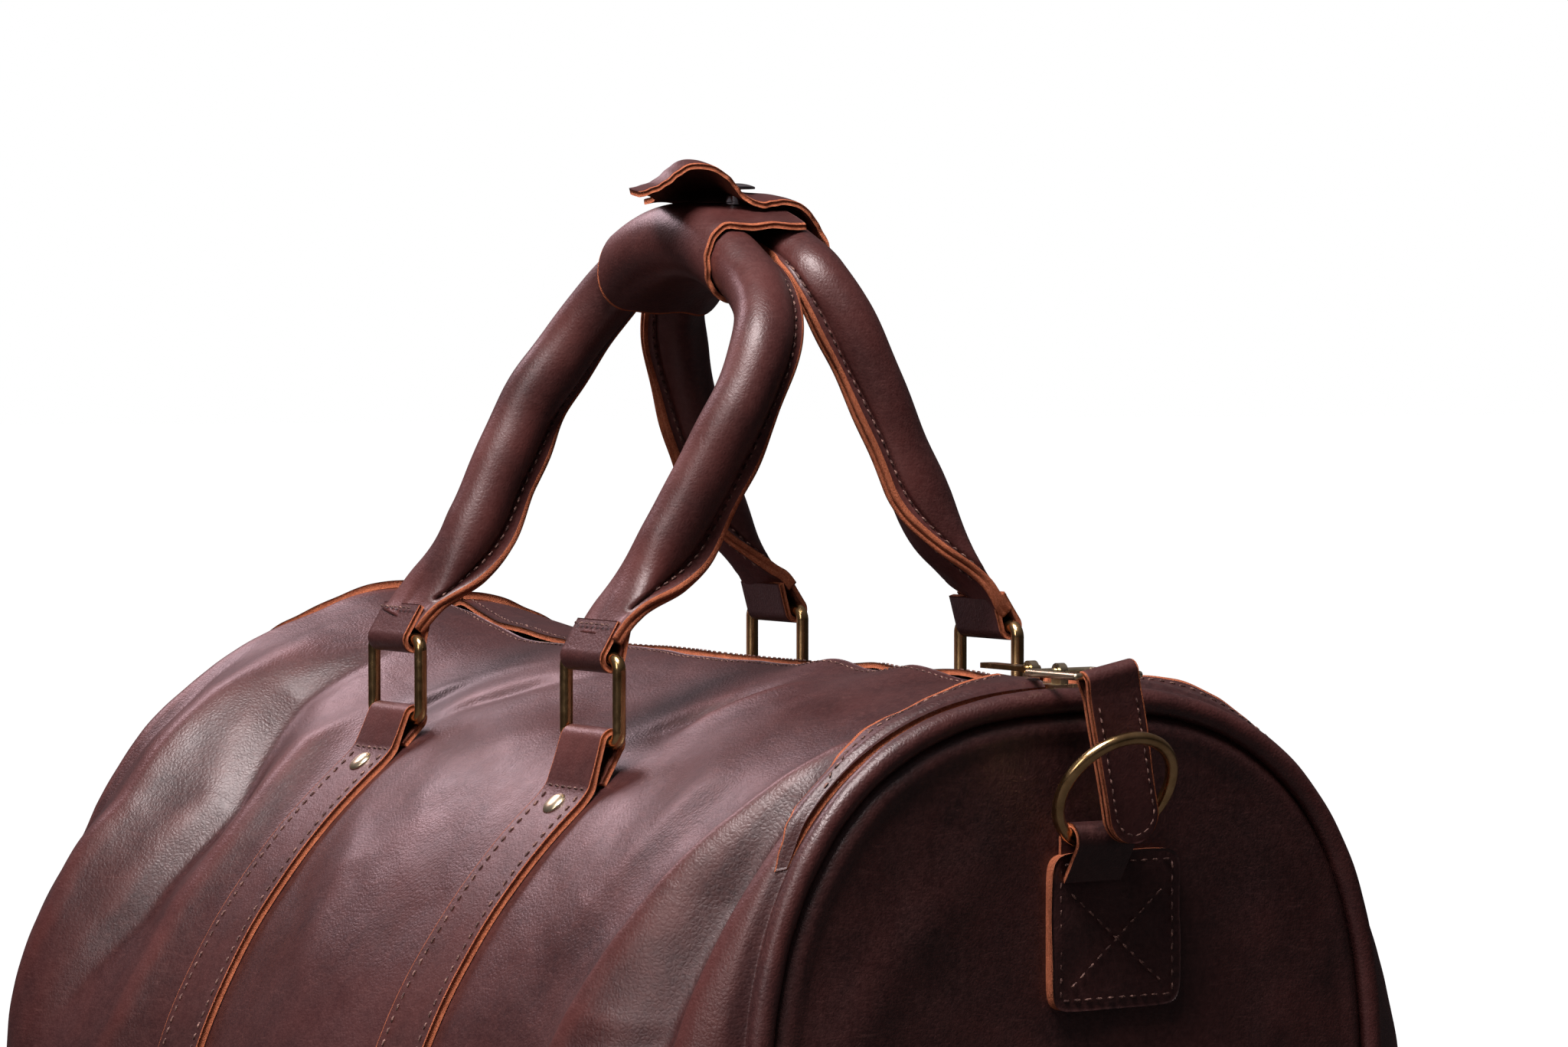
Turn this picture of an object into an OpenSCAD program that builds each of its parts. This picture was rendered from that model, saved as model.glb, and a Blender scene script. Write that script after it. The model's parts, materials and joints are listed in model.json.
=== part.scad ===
// Soft leather duffel bag, lying full and closed, with its two rolled handles snapped together.
// Origin: centre of the base, on the surface it stands on. X runs along the zip, -Y is the front.

/* [Bag body] */
// Length between the two end panels
bag_l = 518; // [500:1:540]
// Height of the arched top
bag_h = 293; // [285:1:300]
// Half width of an end panel
end_w = 136; // [130:1:142]
// Half width of the body at its fullest
belly_w = 193; // [186:1:195]
// How much fuller the left half of the body lies than the right half
belly_lean = 18; // [8:1:19]
// Thickness of the body leather
leather_t = 2.2; // [1.8:0.1:2.6]
// Radius of the piping round each end panel
piping_r = 4.5; // [3.5:0.1:5]

/* [Zip] */
// Half width of the gap between the leather edges
zip_gap = 8; // [7.5:0.5:10]
// Pitch of the teeth
tooth_pitch = 4; // [3:0.5:5]
// Where the first slider rests
slider_a_x = 229; // [200:1:229]

/* [Straps and rings] */
// Distance of each strap from the middle of the bag
strap_x = 79; // [70:1:90]
// Width of the straps
strap_w = 31; // [26:1:31]
// Distance between the two bars of a strap ring
ring_h = 31; // [26:1:34]
// Radius of the ring wire
ring_r = 2.5; // [2:0.1:2.7]

/* [Handles] */
// Radius of the rolled handle
handle_r = 11.5; // [10.5:0.1:12]
// Radius of the cord inside the handle
core_r = 8.4; // [7:0.1:8.6]
// Length of the wrap that holds the handles together
wrap_l = 84; // [76:1:84]

/* [End rings] */
// Side of the square leather patch
patch_side = 56; // [50:1:58]
// Outer diameter of the round ring
o_ring_d = 50; // [46:1:54]
// Lean of the right-hand ring away from upright
o_ring_lean = 32; // [30:1:33]

/* [Hidden] */

brown = [0.24, 0.12, 0.12];
edge_brown = [0.62, 0.33, 0.2];
brass = [0.72, 0.58, 0.3];
pale_brass = [0.8, 0.74, 0.58];
cloth = [0.32, 0.27, 0.22];

half_l = bag_l / 2;
front = -1;
rear = 1;
right = 1;
left = -1;

// The body leather stops a little short of the piping
panel_end = half_l - 8;
base_t = 3;
end_mid_z = 139;
belly_z = 100;
end_n = 2.5;
belly_n = 1.72;
corner_n = 2.2;
base_ratio = 0.62;
// How suddenly the body narrows beside an end panel
puff_n = 8;

zip_top = 291.2;
tape_top = 288.6;
tape_t = 0.8;
zip_left = -240;
zip_right = 250;
slider_b_x = 245;
pull_pivot_z = 298;
pull_pivot_b = slider_b_x + 2;

front_bar = [-95, 266.75];
rear_bar = [82, 274.25];
loop_wall = 2.6;
bar_play = 0.35;
loop_r = ring_r + bar_play + loop_wall;

o_r = 2.3;
o_ring_r = o_ring_d / 2 - o_r;
o_loop_w = 24;
o_pivot_x = half_l + 7;
o_pivot_z = 240;
o_pivot_y = 3;
o_sag = 2;
o_bore = o_sag + o_r + 0.4;

tab_w = 22;
tab_t = 4.6;
tab_x = o_pivot_x + 9;
frame_bar_x = tab_x + 1.5;
tab_lean = 11;

// ---------- the shape of the body ----------

// 1 over the middle of the bag, falling to 0 at the end panels
function puff(x) = 1 - pow(min(1, abs(x) / panel_end), puff_n);
function mix(a, b, t) = a + (b - a) * t;
function half_w(x) = mix(end_w, belly_w - belly_lean * x / half_l, puff(x));
function mid_z(x) = mix(end_mid_z, belly_z, puff(x));
function arch_n(x) = mix(end_n, belly_n, puff(x));
function base_y(x) = base_ratio * half_w(x);

// Point of the half section at station x: a runs from -90 at the base seam to 90 at the top
function section(x, a) =
    a < 0
        ? let (b = base_y(x), p = 2 / corner_n)
          [b + (half_w(x) - b) * pow(cos(a), p), mid_z(x) - (mid_z(x) - base_t) * pow(-sin(a), p)]
        : let (p = 2 / arch_n(x))
          [half_w(x) * pow(cos(a), p), mid_z(x) + (bag_h - mid_z(x)) * pow(sin(a), p)];
function angle_at(x, y) = acos(pow(y / half_w(x), arch_n(x) / 2));
function normal(x, a) =
    let (d = section(x, min(a + 1, 89.9)) - section(x, max(a - 1, -89.9)))
    [d[1], -d[0]] / norm(d);
// The same point moved outwards by d
function skin_at(x, a, d) = section(x, a) + d * normal(x, a);
function on_side(x, side, p) = [x, side * p[0], p[1]];

// ---------- helpers for lofted solids ----------

function grid_point(i, j, n) = i * n + j;
// A sheet with thickness: two grids of points, outside and inside, closed round its four edges
module sheet(outside, inside, flip = false) {
    rows = len(outside);
    cols = len(outside[0]);
    count = rows * cols;
    skin = [for (i = [0 : rows - 2], j = [0 : cols - 2])
        let (a = grid_point(i, j, cols), b = grid_point(i + 1, j, cols))
        [a, b, b + 1, a + 1]];
    lining = [for (f = skin) [f[3] + count, f[2] + count, f[1] + count, f[0] + count]];
    sides = [for (i = [0 : rows - 2], j = [0, cols - 1])
        let (a = grid_point(i, j, cols), b = grid_point(i + 1, j, cols))
        j == 0 ? [b, a, a + count, b + count] : [a, b, b + count, a + count]];
    ends = [for (j = [0 : cols - 2], i = [0, rows - 1])
        let (a = grid_point(i, j, cols), b = a + 1)
        i == 0 ? [a, b, b + count, a + count] : [b, a, a + count, b + count]];
    faces = concat(skin, lining, sides, ends);
    points = concat([for (r = outside) each r], [for (r = inside) each r]);
    polyhedron(points, flip ? [for (f = faces) [f[3], f[2], f[1], f[0]]] : faces, 10);
}

// A solid rod through a list of closed rings
module rod(rings, closed = false) {
    n = len(rings[0]);
    rows = len(rings);
    last = closed ? rows - 1 : rows - 2;
    walls = [for (i = [0 : last], j = [0 : n - 1])
        let (k = (i + 1) % rows, m = (j + 1) % n)
        [i * n + j, i * n + m, k * n + m, k * n + j]];
    caps = closed ? [] : [[for (j = [n - 1 : -1 : 0]) j], [for (j = [0 : n - 1]) (rows - 1) * n + j]];
    polyhedron([for (r = rings) each r], concat(walls, caps), 10);
}

// A plate in the XY plane with round corners
module round_plate(x, y, t, r) {
    translate([-x / 2 + r, -y / 2, 0]) cube([x - 2 * r, y, t]);
    translate([-x / 2, -y / 2 + r, 0]) cube([x, y - 2 * r, t]);
    for (i = [-1, 1], j = [-1, 1])
        translate([i * (x / 2 - r), j * (y / 2 - r), 0]) cylinder(r = r, h = t, $fn = 48);
}

// Draws a shape of the YZ plane as a slab of width w centred on x
module slab(x, w) {
    translate([x - w / 2, 0, 0]) rotate([90, 0, 90]) linear_extrude(w) children();
}

module along_x(r, l) { rotate([0, 90, 0]) cylinder(r = r, h = l, center = true, $fn = 48); }
module along_y(r, l) { rotate([90, 0, 0]) cylinder(r = r, h = l, center = true, $fn = 48); }

// ---------- body ----------

function stations(a, b, n) = [for (i = [0 : n]) mix(a, b, i / n)];
// Stations crowd towards the ends, where the body narrows fastest
function body_stations(end, n) = [for (i = [0 : n]) end * sin(mix(-90, 90, i / n))];

module body_panel(side) {
    n = 22;
    xs = body_stations(panel_end, 24);
    angles = [for (x = xs) stations(-89, angle_at(x, zip_gap), n)];
    outside = [for (i = [0 : len(xs) - 1]) [for (a = angles[i]) on_side(xs[i], side, skin_at(xs[i], a, 0))]];
    inside = [for (i = [0 : len(xs) - 1])
        [for (a = angles[i]) on_side(xs[i], side, skin_at(xs[i], a, -leather_t))]];
    color(brown) sheet(outside, inside, side == front);
}

module front_panel() { body_panel(front); }
module rear_panel() { body_panel(rear); }

module base_panel() {
    xs = stations(-panel_end, panel_end, 16);
    edge = [for (x = xs) [x, base_y(x) + 5]];
    far_edge = [for (i = [len(xs) - 1 : -1 : 0]) [xs[i], -base_y(xs[i]) - 5]];
    color(brown) linear_extrude(base_t) polygon(concat(far_edge, edge));
}

// Closed outline of an end, moved inwards by d
function end_outline(d, n) = concat(
    [for (i = [0 : n]) let (p = skin_at(half_l, mix(-88, 90, i / n), -d)) i == n ? [0, bag_h - d] : p],
    [for (i = [n - 1 : -1 : 0]) let (p = skin_at(half_l, mix(-88, 90, i / n), -d)) [-p[0], p[1]]]);

piping_in = piping_r + 0.2;
module end_panel(side) {
    x = side == right ? half_l - leather_t : -half_l;
    color(brown)
        translate([x, 0, 0]) rotate([90, 0, 90]) linear_extrude(leather_t)
            polygon(end_outline(piping_in + piping_r + 0.1, 26));
}
module end_panel_right() { end_panel(right); }
module end_panel_left() { end_panel(left); }

module piping(side) {
    line = end_outline(piping_in, 26);
    n = len(line);
    rings = [for (i = [0 : n - 1])
        let (p = line[i], d = line[(i + 1) % n] - line[(i + n - 1) % n], t = [d[1], -d[0]] / norm(d))
        [for (k = [0 : 7])
            let (c = piping_r * cos(k * 45), s = piping_r * sin(k * 45))
            [side * (half_l - 2.5 + s), p[0] + c * t[0], p[1] + c * t[1]]]];
    color(brown) mirror([side == left ? 1 : 0, 0, 0]) rod([for (r = rings) [for (p = r) [side * p[0], p[1], p[2]]]], true);
}
module piping_right() { piping(right); }
module piping_left() { piping(left); }

// Raw-edged leather laid over the body leather beside each end, wide at the zip and narrow below
facing_t = 1.8;
facing_w = 29;
facing_low = 30;
facing_lift = 0.6;
module end_facing_half(end, side) {
    rows = 5;
    cols = 12;
    edge_y = zip_gap + 0.6;
    function x_at(i, a) =
        end * (panel_end - mix(4, facing_w, (a - facing_low) / (90 - facing_low)) * (1 - i / rows));
    function a_at(j) = mix(facing_low, angle_at(end * panel_end, edge_y), j / cols);
    function layer(d) = [for (i = [0 : rows]) [for (j = [0 : cols])
        let (a = a_at(j), x = x_at(i, a))
        on_side(x, side, skin_at(x, min(a, angle_at(x, edge_y)), d))]];
    sheet(layer(facing_lift + facing_t), layer(facing_lift), side * end < 0);
}
module end_facing(end) {
    color(edge_brown) for (s = [front, rear]) end_facing_half(end, s);
}
module end_facing_right() { end_facing(right); }
module end_facing_left() { end_facing(left); }

// ---------- inside ----------

lining_gap = 2.6;
lining_t = 0.8;
lining_edge = 18.5;
module lining_half(side) {
    xs = body_stations(panel_end - 2, 14);
    depth = leather_t + lining_gap;
    function layer(d) = [for (x = xs) concat(
        [on_side(x, side, [0, base_t + d])],
        [for (a = stations(-89, angle_at(x, lining_edge), 14)) on_side(x, side, skin_at(x, a, -d))])];
    sheet(layer(depth), layer(depth + lining_t), side == front);
}
module lining() {
    color(cloth) for (s = [front, rear]) lining_half(s);
    color(cloth) for (s = [right, left])
        translate([s * (panel_end - 0.6) - 0.4, 0, 0]) rotate([90, 0, 90])
            linear_extrude(lining_t) polygon(end_outline(16, 20));
}

board_t = 3;
module base_board() {
    color("tan") translate([0, 0, base_t + leather_t + lining_gap + lining_t + 0.3])
        round_plate(440, 176, board_t, 20);
}

// ---------- zip ----------

tooth_in = 0.75;
tooth_mid = 1.9;
tooth_out = 3.4;
module zip_tape(side) {
    y = side == front ? -17 : tooth_out + 0.1;
    color(cloth) translate([zip_left - 8, y, tape_top - tape_t]) cube([zip_right - zip_left + 8, 13.5, tape_t]);
}
module zip_tape_front() { zip_tape(front); }
module zip_tape_rear() { zip_tape(rear); }

// A row of teeth on its cord
module zip_teeth(side) {
    count = floor((zip_right - zip_left) / tooth_pitch);
    shift = side == front ? 0 : tooth_pitch / 2;
    comb = [for (i = [0 : count - 1]) let (x = zip_left + i * tooth_pitch + shift)
        each [[x, tooth_mid], [x, tooth_in], [x + tooth_pitch / 2, tooth_in], [x + tooth_pitch / 2, tooth_mid]]];
    outline = concat(comb, [[zip_right, tooth_out], [zip_left, tooth_out]]);
    color(brass) translate([0, 0, tape_top - tape_t]) linear_extrude(zip_top - tape_top + tape_t)
        polygon([for (p = outline) [p[0], side * p[1]]]);
}
module zip_teeth_front() { zip_teeth(front); }
module zip_teeth_rear() { zip_teeth(rear); }

module zip_stops() {
    color(brass) for (s = [-1, 1])
        translate([zip_left - 4.2, s * 2.1 - 1.4, tape_top + 0.1]) cube([4, 2.8, zip_top - tape_top]);
}

// ---------- straps, rings and rivets ----------

// Outline of a strap in the YZ plane, from the base seam up to where it leaves the body
strap_t = 2.6;
strap_lift = 0.5;
function strap_bar(side) = side == front ? front_bar : rear_bar;
// The strap follows the fuller edge of the body under it
function strap_station(x) = x - strap_w / 2;
function strap_top(side, x) = angle_at(strap_station(x), abs(strap_bar(side)[0]) + 6);
function strap_edge(side, x, d) =
    [for (a = stations(-70, strap_top(side, x), 22)) let (p = skin_at(strap_station(x), a, d)) [side * p[0], p[1]]];

module strap(side, x) {
    outer = strap_edge(side, x, strap_lift + strap_t);
    inner = strap_edge(side, x, strap_lift);
    bar = strap_bar(side);
    top = len(outer) - 1;
    neck = [outer[top - 1], outer[top], [bar[0] + side * (loop_r - 0.4), bar[1]],
            [bar[0] - side * 3.2, bar[1] - 3.8], inner[top], inner[top - 1]];
    color(brown) difference() {
        union() {
            slab(x, strap_w) polygon(concat(outer, [for (i = [top : -1 : 0]) inner[i]]));
            slab(x, strap_w) polygon(neck);
            translate([x, bar[0], bar[1]]) along_x(loop_r, strap_w);
        }
        translate([x, bar[0], bar[1]]) along_x(ring_r + bar_play, strap_w + 2);
    }
}
module strap_front_left() { strap(front, -strap_x); }
module strap_front_right() { strap(front, strap_x); }
module strap_rear_left() { strap(rear, -strap_x); }
module strap_rear_right() { strap(rear, strap_x); }

// A rectangular wire ring standing on its lower bar
ring_span = 40;
ring_corner = 4;
module wire_ring(side, x) {
    bar = strap_bar(side);
    straight_x = ring_span - 2 * ring_corner;
    straight_z = ring_h - 2 * ring_corner;
    color(brass) translate([x, bar[0], bar[1]]) {
        for (z = [0, ring_h]) translate([0, 0, z]) along_x(ring_r, straight_x);
        for (s = [-1, 1])
            translate([s * ring_span / 2, 0, ring_corner]) cylinder(r = ring_r, h = straight_z, $fn = 48);
        for (s = [-1, 1], z = [0, 1])
            translate([s * straight_x / 2, 0, ring_corner + z * straight_z]) rotate([90, 0, 0])
                rotate([0, 0, s == 1 ? (z == 1 ? 0 : -90) : (z == 1 ? 90 : 180)])
                    rotate_extrude(angle = 90, $fn = 48) translate([ring_corner, 0]) circle(r = ring_r, $fn = 32);
    }
}
module ring_front_left() { wire_ring(front, -strap_x); }
module ring_front_right() { wire_ring(front, strap_x); }
module ring_rear_left() { wire_ring(rear, -strap_x); }
module ring_rear_right() { wire_ring(rear, strap_x); }

rivet_r = 4.5;
shank_r = 1.6;
rivet_drop = 13;
// Places its children on a strap, with +Z pointing out of the leather
module at_rivet(side, x, d) {
    a = angle_at(x, abs(strap_bar(side)[0]) + rivet_drop);
    p = skin_at(x, a, d);
    n = normal(x, a);
    translate(on_side(x, side, p)) rotate([-side * atan2(n[0], n[1]), 0, 0]) children();
}
module each_rivet(d) {
    for (s = [front, rear], x = [-strap_x, strap_x]) at_rivet(s, x, d) children();
}
cap_lift = strap_lift + strap_t + 0.7;
back_depth = leather_t + 1.9;
back_t = 1;
module strap_rivets() {
    shank = cap_lift + back_depth - back_t / 2;
    color(pale_brass) each_rivet(cap_lift) {
        cylinder(r = rivet_r, h = 1.1, $fn = 48);
        translate([0, 0, -shank]) cylinder(r = shank_r, h = shank + 0.2, $fn = 32);
    }
}
module rivet_backs() {
    color(pale_brass) each_rivet(-back_depth) cylinder(r = rivet_r, h = back_t, $fn = 48);
}

// ---------- end patches and round rings ----------

patch_t = 2.4;
patch_y = 14;
patch_z = 207;
module ring_patch(side) {
    face = half_l + 0.2;
    color(brown) mirror([side == left ? 1 : 0, 0, 0]) difference() {
        union() {
            translate([face, patch_y, patch_z]) rotate([90, 0, 90]) round_plate(patch_side, patch_side, patch_t, 5);
            translate([face, o_pivot_y - o_loop_w / 2, patch_z]) cube([patch_t + 0.2, o_loop_w, o_pivot_z - patch_z]);
            translate([o_pivot_x, o_pivot_y, o_pivot_z]) along_y(o_bore + leather_t, o_loop_w);
        }
        translate([o_pivot_x, o_pivot_y, o_pivot_z]) along_y(o_bore, o_loop_w + 2);
    }
}
module ring_patch_right() { ring_patch(right); }
module ring_patch_left() { ring_patch(left); }

// A round ring through the loop, turned by lean from upright
module o_ring(side, lean) {
    color(brass) translate([side * o_pivot_x, o_pivot_y, o_pivot_z]) rotate([0, side * lean, 0])
        translate([0, 0, o_ring_r - o_sag]) rotate([0, 90, 0])
            rotate_extrude($fn = 96) translate([o_ring_r, 0]) circle(r = o_r, $fn = 32);
}
module o_ring_right() { o_ring(right, o_ring_lean); }
module o_ring_left() { o_ring(left, 180); }

// ---------- handles ----------

wrap_x = 10;
wrap_crown = 455;
wrap_mid = 8;
wrap_round = 160;
handle_gap = 15;
function crown_z(x) = wrap_crown - pow(x - wrap_x, 2) / wrap_round;

// Centre lines from the left ring over the top to the right ring
front_line = [[-79, -94, 305.2], [-76.5, -85.5, 316], [-70, -68, 338], [-69, -55.5, 364], [-66, -41, 393],
              [-58, -27, 416], [-45, -17.2, 434.8], [-31, -15, 444.6], [-12, -15, 452], [10, -15, 455],
              [32, -15, 452], [50, -15, 445], [66, -16.8, 436], [82, -22.5, 425], [91.5, -30.5, 410],
              [93.5, -40, 392], [90, -49, 373], [85, -58.5, 352], [81, -70, 333], [79.5, -85.5, 316],
              [79, -94, 305.2]];
rear_line = [[-79, 80.5, 312.7], [-80.5, 72, 322], [-81, 60.5, 339], [-80, 49, 362], [-74, 37, 390],
             [-64, 26, 414], [-50, 17.5, 431.5], [-36, 15, 441.8], [-14, 15, 451.4], [10, 15, 455],
             [32, 15, 452], [48, 15, 446], [60, 16.2, 438.6], [68, 23.5, 423], [72, 34, 398],
             [75.5, 46, 368], [78.5, 59, 340], [80, 72, 322], [79, 80.5, 312.7]];

// Smooth curve through the points
function curve(p, i, t) =
    let (a = p[max(i - 1, 0)], b = p[i], c = p[i + 1], d = p[min(i + 2, len(p) - 1)])
    0.5 * ((2 * b) + (c - a) * t + (2 * a - 5 * b + 4 * c - d) * t * t + (3 * b - a - 3 * c + d) * t * t * t);
function line_at(p, s) = let (i = min(floor(s), len(p) - 2)) curve(p, i, s - i);
function line_dir(p, s) =
    let (d = line_at(p, min(s + 0.05, len(p) - 1)) - line_at(p, max(s - 0.05, 0))) d / norm(d);
function unit(v) = v / norm(v);
// Ring of points round the centre line: w is its half width in the plane of the handle, h across it
function ring_at(p, s, w, h, n) =
    let (c = line_at(p, s), t = line_dir(p, s), across = unit([0, 1, 0] - t[1] * t), along = cross(across, t))
    [for (k = [0 : n - 1]) c + w * cos(360 * k / n) * along + h * sin(360 * k / n) * across];

// The same ring left open at the seam
function rolled_at(p, s, w, h, side) =
    let (c = line_at(p, s), t = line_dir(p, s), across = unit([0, 1, 0] - t[1] * t), along = cross(across, t))
    [for (a = stations(seam_gap, 360 - seam_gap, sides))
        c + w * sin(a) * along - side * h * cos(a) * across];

// The rolled part narrows to a flat, doubled end over this many points of the line
flat_run = 2.4;
flat_w = strap_w / 2;
flat_h = 2.7;
fold_w = flat_w - 2.4;
fold_h = 0.3;
sides = 14;
function roundness(p, s) =
    let (k = min(1, min(s, len(p) - 1 - s) / flat_run)) k * k * (3 - 2 * k);

module handle_loop(side, x) {
    bar = strap_bar(side) + [0, ring_h];
    color(brown) translate([x, bar[0], bar[1]]) difference() {
        along_x(loop_r, strap_w);
        along_x(ring_r + bar_play, strap_w + 2);
    }
}
// The leather is rolled round the cord, and its two edges meet on the side facing the other handle
seam_gap = 2.5;
module handle(side, p) {
    last = len(p) - 1;
    ss = concat(stations(0, flat_run, 7), stations(flat_run + 0.3, last - flat_run - 0.3, 34),
                stations(last - flat_run, last, 7));
    color(brown) sheet(
        [for (s = ss) let (k = roundness(p, s))
            rolled_at(p, s, mix(flat_w, handle_r, k), mix(flat_h, handle_r, k), side)],
        [for (s = ss) let (k = roundness(p, s))
            rolled_at(p, s, mix(fold_w, core_r + 0.2, k), mix(fold_h, core_r + 0.2, k), side)],
        side == front);
    for (x = [-strap_x, strap_x]) handle_loop(side, x);
}
module handle_front() { handle(front, front_line); }
module handle_rear() { handle(rear, rear_line); }

module handle_core(p) {
    last = len(p) - 1;
    color("tan") rod([for (s = stations(flat_run + 0.05, last - flat_run - 0.05, 36)) ring_at(p, s, core_r, core_r, 10)]);
}
module handle_core_front() { handle_core(front_line); }
module handle_core_rear() { handle_core(rear_line); }

// ---------- wrap round both handles ----------

wrap_in = handle_r + 0.9;
wrap_t = 2.2;
flap_in = wrap_in + wrap_t + 3.4;
function arc(c, r, a0, a1, n) = [for (a = stations(a0, a1, n)) [c[0] + r * cos(a), c[1] + r * sin(a)]];

// From the tongue over the rear handle, round the front handle, under both and up behind the rear one
function wrap_side(d) = concat(
    [[handle_gap + 1, wrap_in + d]],
    arc([-handle_gap, 0], wrap_in + d, 90, 270, 12),
    arc([handle_gap, 0], wrap_in + d, -90, 8, 7));
// Middle line of the flap, from behind the rear handle over the top to the free tip at the front
flap_line = [[30.3, 6.2], [27.8, 11.4], [22.8, 16], [15, 18.6], [8, 19.1], [0, 19.1], [-7, 20.6],
             [-15, 25], [-22, 26.6], [-30, 24.3], [-37, 19], [-43, 13.5]];
function flap_side(d) = [for (s = stations(0, len(flap_line) - 1, 22))
    let (t = line_dir(flap_line, s)) line_at(flap_line, s) + (d - wrap_t / 2) * [-t[1], t[0]] * -1];

// The wrap follows the crown of the handles; its section grows where the crown slopes
function slope(x) = 2 * (x - wrap_x) / wrap_round;
function crown_shift(x, p) = [x, p[0], crown_z(x) + p[1] * sqrt(1 + slope(x) * slope(x))];
module wrap_sheet(x0, x1, outer, inner) {
    xs = stations(x0, x1, 8);
    sheet([for (x = xs) [for (p = outer) crown_shift(x, p)]], [for (x = xs) [for (p = inner) crown_shift(x, p)]]);
}
module grip_wrap() {
    color(brown) wrap_sheet(wrap_mid - wrap_l / 2, wrap_mid + wrap_l / 2, wrap_side(wrap_t), wrap_side(0));
}
flap_x0 = -12;
flap_x1 = 38;
module wrap_flap() {
    color(brown) wrap_sheet(flap_x0, flap_x1, flap_side(wrap_t), flap_side(0));
}

snap_x = 22;
snap_y = 2;
module snap_stud() {
    color("silver") translate([snap_x, snap_y, crown_z(snap_x) + wrap_in + wrap_t]) {
        cylinder(r = 5, h = 0.6, $fn = 48);
        cylinder(r = 2.6, h = 2.9, $fn = 48);
        translate([0, 0, -wrap_t]) cylinder(r = 1.5, h = wrap_t + 0.4, $fn = 32);
    }
}
module snap_cap() {
    dome_r = 18;
    color("silver") translate([snap_x, snap_y, crown_z(snap_x) + flap_in + wrap_t + 0.5]) {
        intersection() {
            translate([0, 0, 2.2 - dome_r]) sphere(r = dome_r, $fn = 96);
            cylinder(r = 7, h = 4, $fn = 64);
        }
        translate([0, 0, -wrap_t - 0.8]) cylinder(r = 1.5, h = wrap_t + 1, $fn = 32);
        translate([0, 0, -wrap_t - 3]) difference() {
            cylinder(r = 5, h = 2.4, $fn = 48);
            translate([0, 0, -1]) cylinder(r = 3, h = 3.2, $fn = 48);
        }
    }
}

// ---------- sliders and pulls ----------

slider_l = 12;
slider_hw = 5.5;
bridge_t = 3.2;
pin_r = 1.3;
pin_bore = 1.6;
module slider(x, pivot_x) {
    floor_z = tape_top - tape_t - 0.7;
    roof_z = zip_top + 0.6;
    color(pale_brass) translate([x - slider_l / 2, 0, 0]) {
        translate([0, -slider_hw, roof_z]) cube([slider_l, 2 * slider_hw, 1.7]);
        translate([0, -slider_hw, floor_z - 1.5]) cube([slider_l, 2 * slider_hw, 1.5]);
        translate([slider_l - 3.5, -0.45, floor_z - 0.2]) cube([3, 0.9, roof_z - floor_z + 0.4]);
        for (s = [-1, 1])
            translate([0, s * (slider_hw - 0.6) - 0.6, tape_top + 0.6]) cube([slider_l, 1.2, roof_z - tape_top]);
    }
    color(pale_brass) difference() {
        union() {
            translate([pivot_x, 0, pull_pivot_z]) along_y(3, bridge_t);
            translate([pivot_x - 3, -bridge_t / 2, roof_z + 1]) cube([6, bridge_t, pull_pivot_z - roof_z - 1]);
        }
        translate([pivot_x, 0, pull_pivot_z]) along_y(pin_bore, bridge_t + 2);
    }
}
module slider_a() { slider(slider_a_x, slider_a_x); }
module slider_b() { slider(slider_b_x, pull_pivot_b); }

bar_l = 30;
bar_w = 7;
bar_t = 1.8;
module bar_pull() {
    ear_y = bridge_t / 2 + 0.35;
    color(brass) translate([slider_a_x, 0, pull_pivot_z]) {
        along_y(pin_r, bar_w);
        for (s = [-1, 1]) translate([-6, s == 1 ? ear_y : -bar_w / 2, -bar_t / 2]) cube([6, bar_w / 2 - ear_y, bar_t]);
        translate([-bar_l + bar_w / 2, -bar_w / 2, -bar_t / 2]) cube([bar_l - bar_w / 2 - 4.5, bar_w, bar_t]);
        translate([-bar_l + bar_w / 2, 0, -bar_t / 2]) cylinder(r = bar_w / 2, h = bar_t, $fn = 48);
    }
}

module pull_frame() {
    span_y = tab_w / 2 + 2.4;
    color(pale_brass) for (x = [pull_pivot_b, frame_bar_x]) {
        translate([x, 0, pull_pivot_z]) along_y(pin_r, 2 * span_y);
        for (s = [-1, 1]) translate([x, s * span_y, pull_pivot_z]) sphere(r = pin_r, $fn = 32);
    }
    color(pale_brass) for (s = [-1, 1])
        translate([(pull_pivot_b + frame_bar_x) / 2, s * span_y, pull_pivot_z])
            along_x(pin_r, frame_bar_x - pull_pivot_b);
}

tab_l = 60;
module pull_tab() {
    loop = pin_r + 0.4 + 1.9;
    color(brown) difference() {
        union() {
            translate([frame_bar_x, 0, pull_pivot_z]) along_y(loop, tab_w);
            translate([frame_bar_x - 1.5, 0, pull_pivot_z]) rotate([tab_lean, 0, 0]) {
                translate([0, -tab_w / 2, -tab_l + tab_w / 2]) cube([tab_t, tab_w, tab_l - tab_w / 2 - 2]);
                translate([tab_t / 2, 0, -tab_l + tab_w / 2]) along_x(tab_w / 2, tab_t);
            }
        }
        translate([frame_bar_x, 0, pull_pivot_z]) along_y(pin_r + 0.4, tab_w + 20);
    }
}

front_panel();
rear_panel();
base_panel();
end_panel_right();
end_panel_left();
piping_right();
piping_left();
end_facing_right();
end_facing_left();
lining();
base_board();
zip_tape_front();
zip_tape_rear();
zip_teeth_front();
zip_teeth_rear();
zip_stops();
strap_front_left();
strap_front_right();
strap_rear_left();
strap_rear_right();
strap_rivets();
rivet_backs();
ring_patch_right();
ring_patch_left();
ring_front_left();
ring_front_right();
ring_rear_left();
ring_rear_right();
handle_front();
handle_rear();
handle_core_front();
handle_core_rear();
grip_wrap();
snap_stud();
wrap_flap();
snap_cap();
slider_a();
bar_pull();
slider_b();
pull_frame();
pull_tab();
o_ring_right();
o_ring_left();
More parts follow.
